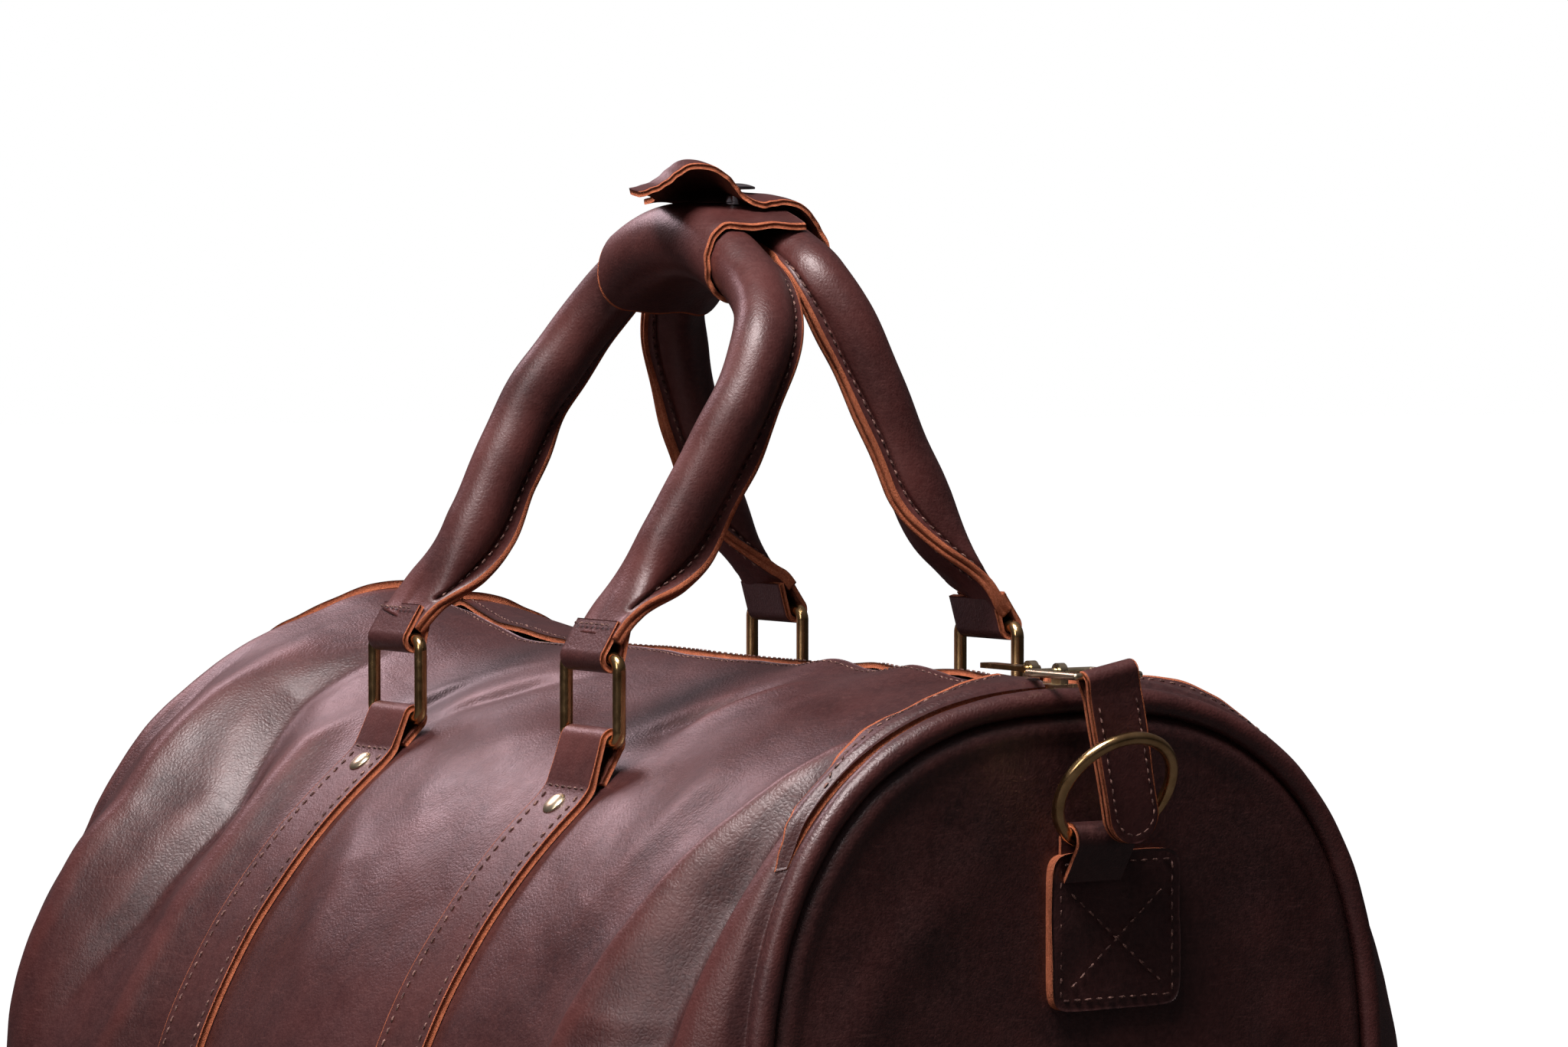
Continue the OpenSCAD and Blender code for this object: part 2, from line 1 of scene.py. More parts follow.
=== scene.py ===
"""Looks of a soft leather duffel bag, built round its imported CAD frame. Lengths here are in millimetres."""

import json
import math

import bpy
import numpy as np
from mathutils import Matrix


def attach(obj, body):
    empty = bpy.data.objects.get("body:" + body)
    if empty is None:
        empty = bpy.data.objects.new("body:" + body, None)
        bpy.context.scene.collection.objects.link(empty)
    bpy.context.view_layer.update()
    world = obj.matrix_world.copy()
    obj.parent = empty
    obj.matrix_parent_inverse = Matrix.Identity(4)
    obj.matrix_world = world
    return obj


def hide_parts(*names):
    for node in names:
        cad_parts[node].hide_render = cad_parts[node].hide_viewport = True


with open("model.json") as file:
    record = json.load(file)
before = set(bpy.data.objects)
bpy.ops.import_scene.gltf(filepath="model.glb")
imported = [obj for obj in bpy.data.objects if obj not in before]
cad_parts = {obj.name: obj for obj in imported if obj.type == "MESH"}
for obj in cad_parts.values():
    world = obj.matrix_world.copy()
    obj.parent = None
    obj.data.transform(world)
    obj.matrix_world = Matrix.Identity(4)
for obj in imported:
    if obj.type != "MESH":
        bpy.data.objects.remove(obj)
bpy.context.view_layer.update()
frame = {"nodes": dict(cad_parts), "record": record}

MM = 0.001
FRONT, REAR = -1, 1
RIGHT, LEFT = 1, -1

# ---------- camera, light and floor ----------


def aim(obj, target):
    from mathutils import Vector

    way = Vector(target) - obj.location
    obj.rotation_mode = "QUATERNION"
    obj.rotation_quaternion = way.to_track_quat("-Z", "Y")


def make_camera():
    azimuth, elevation = math.radians(58.5), math.radians(1.76)
    data = bpy.data.cameras.new("camera")
    data.sensor_width, data.lens = 36, 120
    data.clip_end = 50
    cam = bpy.data.objects.new("camera", data)
    bpy.context.scene.collection.objects.link(cam)
    cam.location = (1.7711, -1.0484, 0.4071)
    back = (math.sin(azimuth) * math.cos(elevation), -math.cos(azimuth) * math.cos(elevation), math.sin(elevation))
    aim(cam, [c - b for c, b in zip(cam.location, back)])
    bpy.context.scene.camera = cam


def area_light(name, place, target, size, watts, colour):
    data = bpy.data.lights.new(name, "AREA")
    data.shape, data.size, data.size_y = "RECTANGLE", size[0], size[1]
    data.energy, data.color = watts, colour
    lamp = bpy.data.objects.new(name, data)
    bpy.context.scene.collection.objects.link(lamp)
    lamp.location = place
    aim(lamp, target)


def fill(node, **values):
    """Sets the inputs of a node. The names have underscores for spaces."""
    for key, value in values.items():
        node.inputs[key.replace("_", " ")].default_value = value


def make_world():
    """White to the camera. The bag itself sees a dim room that is brighter above and a little to the left."""
    world = bpy.data.worlds.new("studio")
    bpy.context.scene.world = world
    world.use_nodes = True
    t = world.node_tree
    t.nodes.clear()
    kinds = "OutputWorld MixShader LightPath Background Background TexCoord VectorMath MapRange".split()
    out, mix, path, seen, room, where, toward, shade = (t.nodes.new(f"ShaderNode{kind}") for kind in kinds)
    fill(seen, Color=(1, 1, 1, 1), Strength=1.0)
    fill(room, Color=(1, 0.82, 0.86, 1))
    toward.operation = "DOT_PRODUCT"
    toward.inputs[1].default_value = (-0.25, -0.15, 0.95)
    fill(shade, From_Min=-0.35, From_Max=1.0, To_Min=0.0, To_Max=0.17)
    for start, end in (
        (where.outputs["Generated"], toward.inputs[0]), (toward.outputs["Value"], shade.inputs["Value"]),
        (shade.outputs["Result"], room.inputs["Strength"]), (path.outputs["Is Camera Ray"], mix.inputs[0]),
        (room.outputs[0], mix.inputs[1]), (seen.outputs[0], mix.inputs[2]), (mix.outputs[0], out.inputs[0]),
    ):
        t.links.new(start, end)


def make_stage():
    """A pale floor that takes the bag's shadow and runs out to plain white around it."""
    n = Nodes("floor_white")
    far = n.add("ShaderNodeVectorMath", operation="LENGTH")
    n.link(n.where, far.inputs[0])
    fade = n.spread(far.outputs["Value"], 0.55, 1.0)
    path = n.add("ShaderNodeLightPath")
    glow = n.times(fade, path.outputs["Is Camera Ray"])
    shown = n.mix(fade, (0.63, 0.735, 0.73), (0.10, 0.10, 0.10))
    # The bag sees a dark table, so that its underside stays deep; the camera sees a pale one
    n.set(Base_Color=n.mix(path.outputs["Is Camera Ray"], (0.05, 0.045, 0.045), shown), Roughness=0.9,
          Emission_Color=(1, 1, 1), Emission_Strength=glow)
    bpy.ops.mesh.primitive_plane_add(size=60)
    floor = bpy.context.object
    floor.name = "floor"
    floor.data.materials.append(n.mat)


# ---------- materials ----------


class Nodes:
    """A short way to write a node tree."""

    def __init__(self, name):
        self.mat = bpy.data.materials.new(name)
        self.mat.use_nodes = True
        self.tree = self.mat.node_tree
        self.shader = self.tree.nodes["Principled BSDF"]
        self.where = self.add("ShaderNodeTexCoord").outputs["Object"]

    def add(self, kind, **settings):
        node = self.tree.nodes.new(kind)
        for key, value in settings.items():
            setattr(node, key, value)
        return node

    def link(self, a, b):
        self.tree.links.new(a, b)

    def noise(self, scale, detail=3, rough=0.55, stretch=None, warp=0.0):
        place = self.where
        if stretch:
            m = self.add("ShaderNodeMapping")
            fill(m, Scale=stretch)
            self.link(self.where, m.inputs["Vector"])
            place = m.outputs[0]
        n = self.add("ShaderNodeTexNoise")
        fill(n, Scale=scale, Detail=detail, Roughness=rough, Distortion=warp)
        self.link(place, n.inputs["Vector"])
        return n.outputs["Fac"]

    def cells(self, scale):
        n = self.add("ShaderNodeTexVoronoi", feature="DISTANCE_TO_EDGE")
        fill(n, Scale=scale)
        self.link(self.where, n.inputs["Vector"])
        return n.outputs["Distance"]

    def spread(self, value, low, high, out_low=0.0, out_high=1.0):
        n = self.add("ShaderNodeMapRange")
        fill(n, From_Min=low, From_Max=high, To_Min=out_low, To_Max=out_high)
        self.link(value, n.inputs["Value"])
        return n.outputs["Result"]

    def feed(self, socket, value):
        """Sets a socket to a number or a colour, or links a node's output to it."""
        if isinstance(value, (int, float)):
            socket.default_value = value
        elif isinstance(value, tuple):
            socket.default_value = (*value, 1)
        else:
            self.link(value, socket)

    def times(self, a, b):
        n = self.add("ShaderNodeMath", operation="MULTIPLY")
        self.feed(n.inputs[0], a)
        self.feed(n.inputs[1], b)
        return n.outputs[0]

    def mix(self, factor, a, b):
        n = self.add("ShaderNodeMix", data_type="RGBA", blend_type="MIX")
        for socket, value in ((n.inputs["Factor"], factor), (n.inputs[6], a), (n.inputs[7], b)):
            self.feed(socket, value)
        return n.outputs[2]

    def attribute(self, name):
        return self.add("ShaderNodeAttribute", attribute_name=name).outputs["Fac"]

    def bump(self, *layers):
        """layers are (height, strength, distance in metres), from the finest to the coarsest."""
        last = None
        for height, strength, distance in layers:
            n = self.add("ShaderNodeBump")
            fill(n, Strength=strength, Distance=distance)
            self.link(height, n.inputs["Height"])
            if last:
                self.link(last, n.inputs["Normal"])
            last = n.outputs[0]
        self.link(last, self.shader.inputs["Normal"])

    def set(self, **values):
        for key, value in values.items():
            self.feed(self.shader.inputs[key.replace("_", " ")], value)
        return self.mat


DARK = (0.017, 0.0042, 0.0050)
MIDDLE = (0.040, 0.0105, 0.0115)
RUST = (0.108, 0.028, 0.0235)
PALE = (0.18, 0.080, 0.072)


def leather(name, dark=DARK, middle=MIDDLE, grain=1.0):
    n = Nodes(name)
    patches = n.spread(n.noise(6.5, 5, 0.6, warp=0.6), 0.36, 0.66)
    mottle = n.spread(n.noise(38, 6, 0.65, warp=0.3), 0.3, 0.72)
    specks = n.spread(n.noise(420, 3, 0.7), 0.35, 0.75)
    ground = n.mix(patches, dark, middle)
    ground = n.mix(n.times(mottle, 0.35), ground, RUST)
    wear = n.attribute("wear")
    worn = n.times(wear, n.spread(mottle, 0, 1, 0.55, 1.15))
    ground = n.mix(worn, ground, RUST)
    ground = n.mix(n.times(n.spread(wear, 0.55, 1.3), 0.7), ground, PALE)
    ground = n.mix(n.times(specks, 0.2), ground, PALE)
    scratches = n.spread(n.noise(70, 8, 0.7, stretch=(1, 1, 7), warp=1.5), 0.57, 0.63)
    ground = n.mix(n.times(scratches, 0.16), ground, PALE)
    rough = n.spread(n.noise(45, 5, 0.6), 0.25, 0.75, 0.36, 0.50)
    creases = n.noise(130, 5, 0.62, stretch=(1, 1, 0.45), warp=1.0)
    pebble = n.spread(n.cells(620), 0, 0.35)
    n.bump((n.noise(900, 4, 0.6), 0.10 * grain, 0.0005), (pebble, 0.16 * grain, 0.0005), (creases, 0.22, 0.0012))
    return n.set(Base_Color=ground, Roughness=rough, Specular_IOR_Level=0.6, Coat_Weight=0.16, Coat_Roughness=0.4)


def raw_edge(name, low, high, streak):
    n = Nodes(name)
    fibres = n.spread(n.noise(1500, 4, 0.7), 0.3, 0.75)
    streaks = n.spread(n.noise(140, 5, 0.7), 0.32, 0.7)
    colour = n.mix(fibres, low, high)
    colour = n.mix(n.times(streaks, 0.55), colour, streak)
    n.bump((fibres, 0.6, 0.0006))
    return n.set(Base_Color=colour, Roughness=0.93, Specular_IOR_Level=0.2)


def thread():
    n = Nodes("thread")
    fleck = n.spread(n.noise(700, 3, 0.7), 0.45, 0.7)
    colour = n.mix(fleck, (0.060, 0.026, 0.022), (0.42, 0.25, 0.20))
    n.bump((n.noise(2600, 2, 0.5), 0.5, 0.0004))
    return n.set(Base_Color=colour, Roughness=0.7)


def metal(name, bright, dull, low, high, scratch=0.05):
    n = Nodes(name)
    cloud = n.spread(n.noise(120, 5, 0.65), 0.35, 0.7)
    hair = n.noise(900, 4, 0.7, stretch=(1, 1, 0.12))
    n.bump((hair, scratch, 0.0003))
    rough = n.spread(n.noise(260, 4, 0.6), 0.3, 0.75, low, high)
    return n.set(Base_Color=n.mix(cloud, dull, bright), Metallic=1.0, Roughness=rough)


def woven(name, light, dark, pitch):
    n = Nodes(name)
    waves = [n.add("ShaderNodeTexWave", wave_type="BANDS", bands_direction=way) for way in "XY"]
    for wave in waves:
        fill(wave, Scale=160 / pitch, Distortion=0.4)
        n.link(n.where, wave.inputs["Vector"])
    weave = n.times(waves[0].outputs["Fac"], waves[1].outputs["Fac"])
    n.bump((weave, 0.5, 0.0004))
    tone = n.times(weave, n.spread(n.noise(60, 4), 0.3, 0.7, 0.7, 1.0))
    return n.set(Base_Color=n.mix(tone, dark, light), Roughness=0.85, Sheen_Weight=0.2)


def board_material():
    n = Nodes("board")
    fibre = n.spread(n.noise(240, 5, 0.6, stretch=(1, 6, 1)), 0.3, 0.7)
    n.bump((fibre, 0.2, 0.0003))
    return n.set(Base_Color=n.mix(fibre, (0.20, 0.13, 0.075), (0.30, 0.21, 0.13)), Roughness=0.8)


LEATHER = leather("body_leather")
STRAP_LEATHER = leather("strap_leather", dark=(0.013, 0.0036, 0.0042), middle=(0.030, 0.0088, 0.0092), grain=0.8)
HANDLE_LEATHER = leather("handle_leather", middle=(0.050, 0.0135, 0.0125), grain=0.7)
# A darker copy of the body leather for the end panels, their patches and the patch loops: painted shade, as the end
# lies in shade
END_LEATHER_PAINTED_SHADE = leather("end_leather_painted_shade", dark=(0.010, 0.0025, 0.0028), middle=(0.023, 0.0056, 0.0058))
EDGE = raw_edge("raw_edge", (0.33, 0.088, 0.036), (0.74, 0.27, 0.135), (0.20, 0.050, 0.024))
SUEDE = raw_edge("suede_back", (0.12, 0.034, 0.020), (0.21, 0.072, 0.042), (0.085, 0.023, 0.015))
THREAD = thread()
BRASS = metal("antique_brass", (0.80, 0.58, 0.28), (0.50, 0.34, 0.15), 0.16, 0.30, 0.02)
PALE_BRASS = metal("pale_brass", (0.86, 0.80, 0.58), (0.70, 0.63, 0.42), 0.24, 0.36, 0.012)
TEETH_BRASS = metal("teeth_brass", (0.50, 0.36, 0.19), (0.22, 0.15, 0.09), 0.3, 0.45)
CHROME = metal("chrome", (0.88, 0.88, 0.90), (0.74, 0.74, 0.78), 0.06, 0.14, 0.01)
TAPE = woven("zip_tape_cloth", (0.050, 0.030, 0.026), (0.014, 0.009, 0.008), 0.8)
LINING = woven("lining_cloth", (0.16, 0.12, 0.09), (0.07, 0.05, 0.04), 1.2)
CORD = woven("cord_cloth", (0.55, 0.46, 0.34), (0.28, 0.22, 0.15), 2.0)
BOARD = board_material()

# ---------- meshes ----------


def new_mesh(name, points, faces, materials, which=None, smooth=True, wear=None):
    mesh = bpy.data.meshes.new(name)
    mesh.from_pydata((np.asarray(points, float) * MM).tolist(), [], faces)
    for m in materials:
        mesh.materials.append(m)
    if which is not None:
        mesh.polygons.foreach_set("material_index", np.asarray(which, np.int32))
    if smooth:
        mesh.polygons.foreach_set("use_smooth", np.ones(len(faces), bool))
    if wear is not None:
        layer = mesh.attributes.new("wear", "FLOAT", "POINT")
        layer.data.foreach_set("value", np.asarray(wear, np.float32).ravel())
    mesh.validate()
    obj = bpy.data.objects.new(name, mesh)
    bpy.context.scene.collection.objects.link(obj)
    return obj


def settle(obj, body, slot, *nodes):
    """Rides a piece on its body and hides the CAD nodes that it stands for. Its material slot is not used."""
    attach(obj, body)
    if nodes:
        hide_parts(*nodes)
    return obj


def outward(points, faces):
    """Faces turned so that a closed mesh has its volume inside."""
    p = np.asarray(points, float)
    total = 0.0
    for f in faces:
        for i in range(1, len(f) - 1):
            total += np.dot(p[f[0]], np.cross(p[f[i]], p[f[i + 1]]))
    return faces if total > 0 else [tuple(reversed(f)) for f in faces]


def slab_mesh(name, top, bottom, materials, wear=None, columns=None, raw=False):
    """A sheet of leather between two grids of points. Materials: face, back, rim.
    columns gives the material index of each column of the face. raw gives the outermost rows that of the rim."""
    rows, cols = top.shape[:2]
    count = rows * cols
    points = np.concatenate([top.reshape(-1, 3), bottom.reshape(-1, 3)])
    index = np.arange(count).reshape(rows, cols)
    a, b, c, d = index[:-1, :-1], index[1:, :-1], index[1:, 1:], index[:-1, 1:]
    face = np.stack([a, b, c, d], -1).reshape(-1, 4)
    back = face[:, ::-1] + count
    faces = [tuple(f) for f in face.tolist()]
    which = [0] * len(face) if columns is None else np.tile(columns, rows - 1).tolist()
    if raw:
        which[:cols - 1] = which[1 - cols:] = [2] * (cols - 1)
    faces += [tuple(f) for f in back.tolist()]
    which += [1] * len(back)
    for line, flip in ((index[0], True), (index[-1], False), (index[:, 0], False), (index[:, -1], True)):
        for i, j in zip(line[:-1].tolist(), line[1:].tolist()):
            quad = (i, j, j + count, i + count)
            faces.append(tuple(reversed(quad)) if flip else quad)
            which.append(2)
    faces = outward(points, faces)
    if wear is not None:
        wear = np.concatenate([wear.ravel(), wear.ravel()])
    return new_mesh(name, points, faces, materials, which, wear=wear)


def loft(rows, n, closed=False):
    """Faces between rings of n points each, with a cap at the first and the last ring if the loft is not closed."""
    rings = np.arange(rows * n).reshape(rows, n).tolist()
    pairs = zip(rings, rings[1:] + rings[:1] if closed else rings[1:])
    faces = [(here[j], here[(j + 1) % n], there[(j + 1) % n], there[j]) for here, there in pairs for j in range(n)]
    return faces if closed else faces + [tuple(reversed(rings[0])), tuple(rings[-1])]


def copies(faces, per, count):
    """The faces of one shape of per points, repeated for count shapes that follow each other."""
    return [tuple(v + n * per for v in f) for n in range(count) for f in faces]


def tube_mesh(name, rings, materials, segment_material=None, closed=False, wear=None):
    """A skin over closed rings of points. segment_material gives the material index round a ring."""
    rows, n = rings.shape[:2]
    faces = loft(rows, n, closed)
    which = (segment_material or [0] * n) * (rows if closed else rows - 1)
    which += [len(materials) - 1] * (len(faces) - len(which))
    points = rings.reshape(-1, 3)
    return new_mesh(name, points, outward(points, faces), materials, which, wear=wear)


def unit(v):
    return v / np.maximum(np.linalg.norm(v, axis=-1, keepdims=True), 1e-9)


def tangents(points):
    return unit(np.gradient(points, axis=0))


def curve_through(points, count):
    """Catmull-Rom curve through the points, evenly spaced along its length."""
    p = np.asarray(points, float)
    p = np.vstack([2 * p[0] - p[1], p, 2 * p[-1] - p[-2]])
    t = np.linspace(0, 1, 24, endpoint=False)[:, None]
    fine = [0.5 * (2 * b + (c - a) * t + (2 * a - 5 * b + 4 * c - d) * t**2 + (3 * b - a - 3 * c + d) * t**3)
            for a, b, c, d in zip(p[:-3], p[1:-2], p[2:-1], p[3:])]
    fine = np.vstack([*fine, p[-2][None]])
    return even(fine, count)


def flat_normal(paths):
    """Direction across paths that lie in a plane."""
    way = np.gradient(paths, axis=-2)
    return unit(np.stack([-way[..., 1], way[..., 0]], -1))


def run_along(line):
    """Distance of each point from the first, along the line."""
    return np.concatenate([[0], np.cumsum(np.linalg.norm(np.diff(line, axis=0), axis=1))])


def even(line, count):
    s = run_along(line)
    at = np.linspace(0, s[-1], count)
    return np.stack([np.interp(at, s, line[:, k]) for k in range(line.shape[1])], -1)


def length_of(line):
    return float(np.linalg.norm(np.diff(line, axis=0), axis=1).sum())


def smooth_step(x, low, high):
    t = np.clip((x - low) / (high - low), 0, 1)
    return t * t * (3 - 2 * t)


def bell(x, width):
    return np.exp(-((x / width) ** 2))


def ripples(u, v, seed, size, count=7):
    """A smooth made-up surface of mixed waves, about -1 to 1. size is the typical wavelength."""
    rng = np.random.RandomState(seed)
    total = np.zeros(np.broadcast(u, v).shape)
    for _ in range(count):
        angle, phase, k = rng.uniform(0, math.pi), rng.uniform(0, 2 * math.pi), rng.uniform(0.6, 1.6)
        total = total + np.sin(2 * math.pi * k / size * (u * math.cos(angle) + v * math.sin(angle)) + phase)
    return total / math.sqrt(count)


def stitches(name, line, normals, body, pitch=4.4, long=3.0, radius=0.42, lift=0.1):
    """A row of thread stitches along a line, with the surface's normals."""
    total = length_of(line)
    count = max(2, int(total / pitch))
    both = even(np.hstack([line, normals]), count * 8 + 1)
    centre, up = both[4::8, :3], unit(both[4::8, 3:])
    way = unit(both[6::8, :3] - both[2::8, :3])
    across = unit(np.cross(way, up))
    up = np.cross(across, way)
    rng = np.random.RandomState(len(name) * 7 + count)
    turn = rng.uniform(-0.12, 0.12, len(centre))[:, None]
    way, across = way + across * turn, across - way * turn
    steps, sides = 5, 6
    rings = []
    for i in range(steps):
        t = i / (steps - 1) * 2 - 1
        r = radius * math.sqrt(max(0.0, 1 - t**4)) + 0.05
        drop = lift + 0.35 * radius - 0.9 * radius * t**4
        for j in range(sides):
            a = 2 * math.pi * j / sides
            aside, high = r * math.cos(a), r * 0.85 * math.sin(a) + drop
            rings.append(centre + way * (long / 2 * t) + across * aside + up * high)
    points = np.stack(rings, 1)
    faces = copies(loft(steps, sides), steps * sides, len(centre))
    return settle(new_mesh(name, points.reshape(-1, 3), faces, [THREAD]), body, "leather")


# ---------- the shape of the bag ----------

BAG_H, END_W, BELLY_W, BELLY_LEAN = 293, 136, 193, 18
HALF_L = 259
PANEL_END = 251
END_MID, BELLY_MID = 139, 100
END_POWER, BELLY_POWER, LOW_POWER = 2.5, 1.72, 2.2
BASE_RATIO, BASE_T, LEATHER_T = 0.62, 3, 2.2
PIPING_R, PIPING_IN = 4.5, 4.7
BASE_SEAM, ALMOST_TOP = -89.0, 89.9
ZIP_GAP = 8
STRAP_X, STRAP_T = 79, 3.2
RING_H = 31
BAR = {FRONT: (95, 266.75), REAR: (82, 274.25)}
LOOP_R, LOOP_T = 4.15, 2.5


def puff(x):
    return 1 - np.minimum(1, np.abs(x) / PANEL_END) ** 8


def half_w(x):
    return END_W + (BELLY_W - BELLY_LEAN * x / HALF_L - END_W) * puff(x)


def power_at(x):
    return END_POWER + (BELLY_POWER - END_POWER) * puff(x)


def section(x, a):
    """Half section of the bag at x, as the CAD has it: a runs from -90 at the base to 90 at the top."""
    w, power = half_w(x), power_at(x)
    mid = END_MID + (BELLY_MID - END_MID) * puff(x)
    base = BASE_RATIO * w
    s, c = np.abs(np.sin(np.radians(a))), np.clip(np.cos(np.radians(a)), 0, 1)
    y = np.where(a < 0, base + (w - base) * c ** (2 / LOW_POWER), w * c ** (2 / power))
    z = np.where(a < 0, mid - (mid - BASE_T) * s ** (2 / LOW_POWER), mid + (BAG_H - mid) * s ** (2 / power))
    return y, z


def section_normal(x, a):
    """Outward direction of the section in its own plane."""
    y0, z0 = section(x, np.clip(a - 1, -ALMOST_TOP, ALMOST_TOP))
    y1, z1 = section(x, np.clip(a + 1, -ALMOST_TOP, ALMOST_TOP))
    return unit(np.stack([z1 - z0, -(y1 - y0)], -1))


def angle_at(x, y):
    return np.degrees(np.arccos(np.clip((y / half_w(x)) ** (power_at(x) / 2), 0, 1)))


# Distance down the leather from the zip, measured on the middle section
_angles = np.linspace(-90, 90, 721)
_y, _z = section(np.zeros_like(_angles), _angles)
_run = np.concatenate([[0], np.cumsum(np.hypot(np.diff(_y), np.diff(_z)))])
DOWN = _run[-1] - _run


def down_at(a):
    return np.interp(a, _angles, DOWN)


def angle_of(t):
    return np.interp(t, DOWN[::-1], _angles[::-1])


def fold(x, t, nodes, sharp, soft):
    """A long fold through nodes (x, t, height): sharp and soft are its widths on its two sides."""
    best = np.full(np.shape(x), 1e9)
    out = np.zeros(np.shape(x))
    for (x0, t0, h0), (x1, t1, h1) in zip(nodes[:-1], nodes[1:]):
        dx, dt = x1 - x0, t1 - t0
        size = dx * dx + dt * dt
        share = np.clip(((x - x0) * dx + (t - t0) * dt) / size, 0, 1)
        off = np.hypot(x - x0 - share * dx, t - t0 - share * dt)
        left = (x - x0) * dt - (t - t0) * dx > 0
        shape = (h0 + (h1 - h0) * share) * np.exp(-((off / np.where(left, sharp, soft)) ** 1.7))
        near = off < best
        out, best = np.where(near, shape, out), np.minimum(off, best)
    return out


# Folds as (x, distance down from the zip, height), then the widths on their two sides
FRONT_FOLDS = [
    ([(-112, 70, 0), (-122, 115, 6), (-116, 165, 7), (-122, 240, 6), (-150, 330, 0)], 13, 15),
    ([(-150, 40, 0), (-160, 95, -7), (-141, 150, -9), (-149, 205, -8), (-185, 300, 0)], 13, 9),
    ([(-185, 60, 0), (-184, 115, 6), (-180, 170, 8), (-188, 220, 7), (-218, 310, 0)], 12, 16),
    ([(-140, 135, 0), (-160, 150, -2.5), (-195, 178, -3), (-232, 205, 0)], 14, 22),
    ([(-214, 80, 0), (-212, 130, -5), (-215, 190, -5), (-235, 250, 0)], 8, 10),
    ([(-97, 100, 0), (-92, 84, -6), (-80, 58, -5), (-60, 34, 0)], 5, 9),
    ([(-100, 92, 0), (-88, 66, 4), (-72, 46, 3), (-50, 28, 0)], 6, 6),
    ([(-72, 96, 0), (-60, 74, -4), (-38, 56, -3), (-10, 44, 0)], 4, 9),
    ([(72, 92, 0), (84, 76, -8), (98, 58, -7), (122, 32, 0)], 5, 11),
    ([(98, 84, 0), (106, 66, 4), (124, 44, 3), (140, 28, 0)], 9, 8),
    ([(238, 60, 0), (229, 92, 6), (212, 141, 9), (194, 190, 9), (178, 240, 6), (160, 320, 0)], 17, 11),
    ([(243, 80, 0), (236, 125, -10), (228, 175, -13), (222, 235, -11), (216, 330, 0)], 11, 13),
    ([(150, 60, 0), (165, 110, 3), (150, 170, 3), (130, 230, 0)], 14, 22),
    ([(176, 214, 0), (200, 222, 0.9), (232, 232, 0)], 4, 6),
    ([(172, 228, 0), (200, 237, 0.9), (236, 250, 0)], 4, 6),
    ([(-60, 130, 0), (-20, 170, 2.5), (10, 250, 0)], 12, 24),
    ([(20, 120, 0), (45, 180, -2.5), (52, 260, 0)], 14, 20),
]
REAR_FOLDS = [
    ([(-120, 60, 0), (-130, 110, 6), (-150, 190, 7), (-190, 280, 0)], 13, 17),
    ([(-150, 50, 0), (-172, 110, -7), (-196, 190, -6), (-222, 260, 0)], 9, 12),
    ([(118, 60, 0), (130, 120, 6), (148, 200, 6), (180, 300, 0)], 16, 13),
    ([(150, 50, 0), (168, 110, -6), (186, 190, -7), (214, 270, 0)], 12, 9),
    ([(-96, 92, 0), (-86, 70, -5), (-66, 44, 0)], 5, 9),
    ([(96, 92, 0), (86, 70, -5), (66, 44, 0)], 9, 5),
    ([(-40, 110, 0), (-10, 180, 3), (30, 260, 0)], 16, 24),
    ([(232, 80, 0), (230, 150, -6), (224, 260, 0)], 10, 12),
    ([(-232, 80, 0), (-230, 150, -6), (-224, 260, 0)], 12, 10),
]


# Humps of the leather beside the zip, as (height, x, width)
ZIP_HUMPS = [(4.2, 111, 17), (4.6, 168, 20), (1.5, -40, 30), (-1.0, -135, 40), (7.5, -222, 21)]


def relief(side, x, a):
    """How far the soft leather lies out of its plain shape, in millimetres."""
    x, a = np.broadcast_arrays(np.asarray(x, float), np.asarray(a, float))
    t = down_at(a)
    inset = PANEL_END - np.abs(x)
    edge, low = smooth_step(inset, 0, 30), 1 - smooth_step(t, 330, 420)
    out = 2.0 * ripples(x, 0.6 * t, 3 + side, 190) + 0.30 * ripples(x, t, 13 + side, 60)
    out = out + 0.07 * ripples(x, 1.4 * t, 23 + side, 24)
    for nodes, sharp, soft in FRONT_FOLDS if side == FRONT else REAR_FOLDS:
        out = out + fold(x, t, nodes, sharp, soft)
    # The straps press the leather in a little, and it stands fuller between and beside them
    for strap in (-STRAP_X, STRAP_X):
        near = bell(x - strap, 24)
        out = out * (1 - 0.72 * near) - 2.0 * near * smooth_step(t, 60, 130)
    out = out * smooth_step(t, 6, 60) + 4.5 * bell(x, 48) * smooth_step(t, 30, 130)
    left_end = smooth_step(t, -34, 40)
    if side == FRONT:
        out = out + 18 * smooth_step(-x, 112, 196) * left_end * (1 - 0.15 * smooth_step(t, 140, 220))
    else:
        out = out + 12 * smooth_step(x, 130, 212) * smooth_step(t, 14, 84)
        out = out + 9 * smooth_step(-x, 120, 200) * left_end
    out = out * edge * low
    humps = sum(h * bell(x - at, wide) for h, at, wide in ZIP_HUMPS)
    out = out + humps * bell(t, 30) * np.where(x < -180, 1, 1 if side == FRONT else 0.5)
    return out - 3.2 * bell(inset, 2.6)


def on_body(side, x, a, lift=0.0):
    """Points on the leather of the front or rear, lift millimetres above it, with the outward normals."""
    x, a = np.broadcast_arrays(np.asarray(x, float), np.asarray(a, float))
    n = section_normal(x, a)
    y, z = section(x, a)
    out = lift + relief(side, x, a)
    p = np.stack([x, side * (y + out * n[..., 0]), z + out * n[..., 1]], -1)
    return p, np.stack([np.zeros_like(x), side * n[..., 0], n[..., 1]], -1)


def spaced_angles(x, count, gap):
    """Angles from the base seam to the zip, evenly spaced down the leather at each station x."""
    top = down_at(angle_at(x, gap))
    share = np.linspace(0, 1, count)[None, :]
    bottom = down_at(BASE_SEAM)
    return angle_of(bottom + (top[:, None] - bottom) * share)


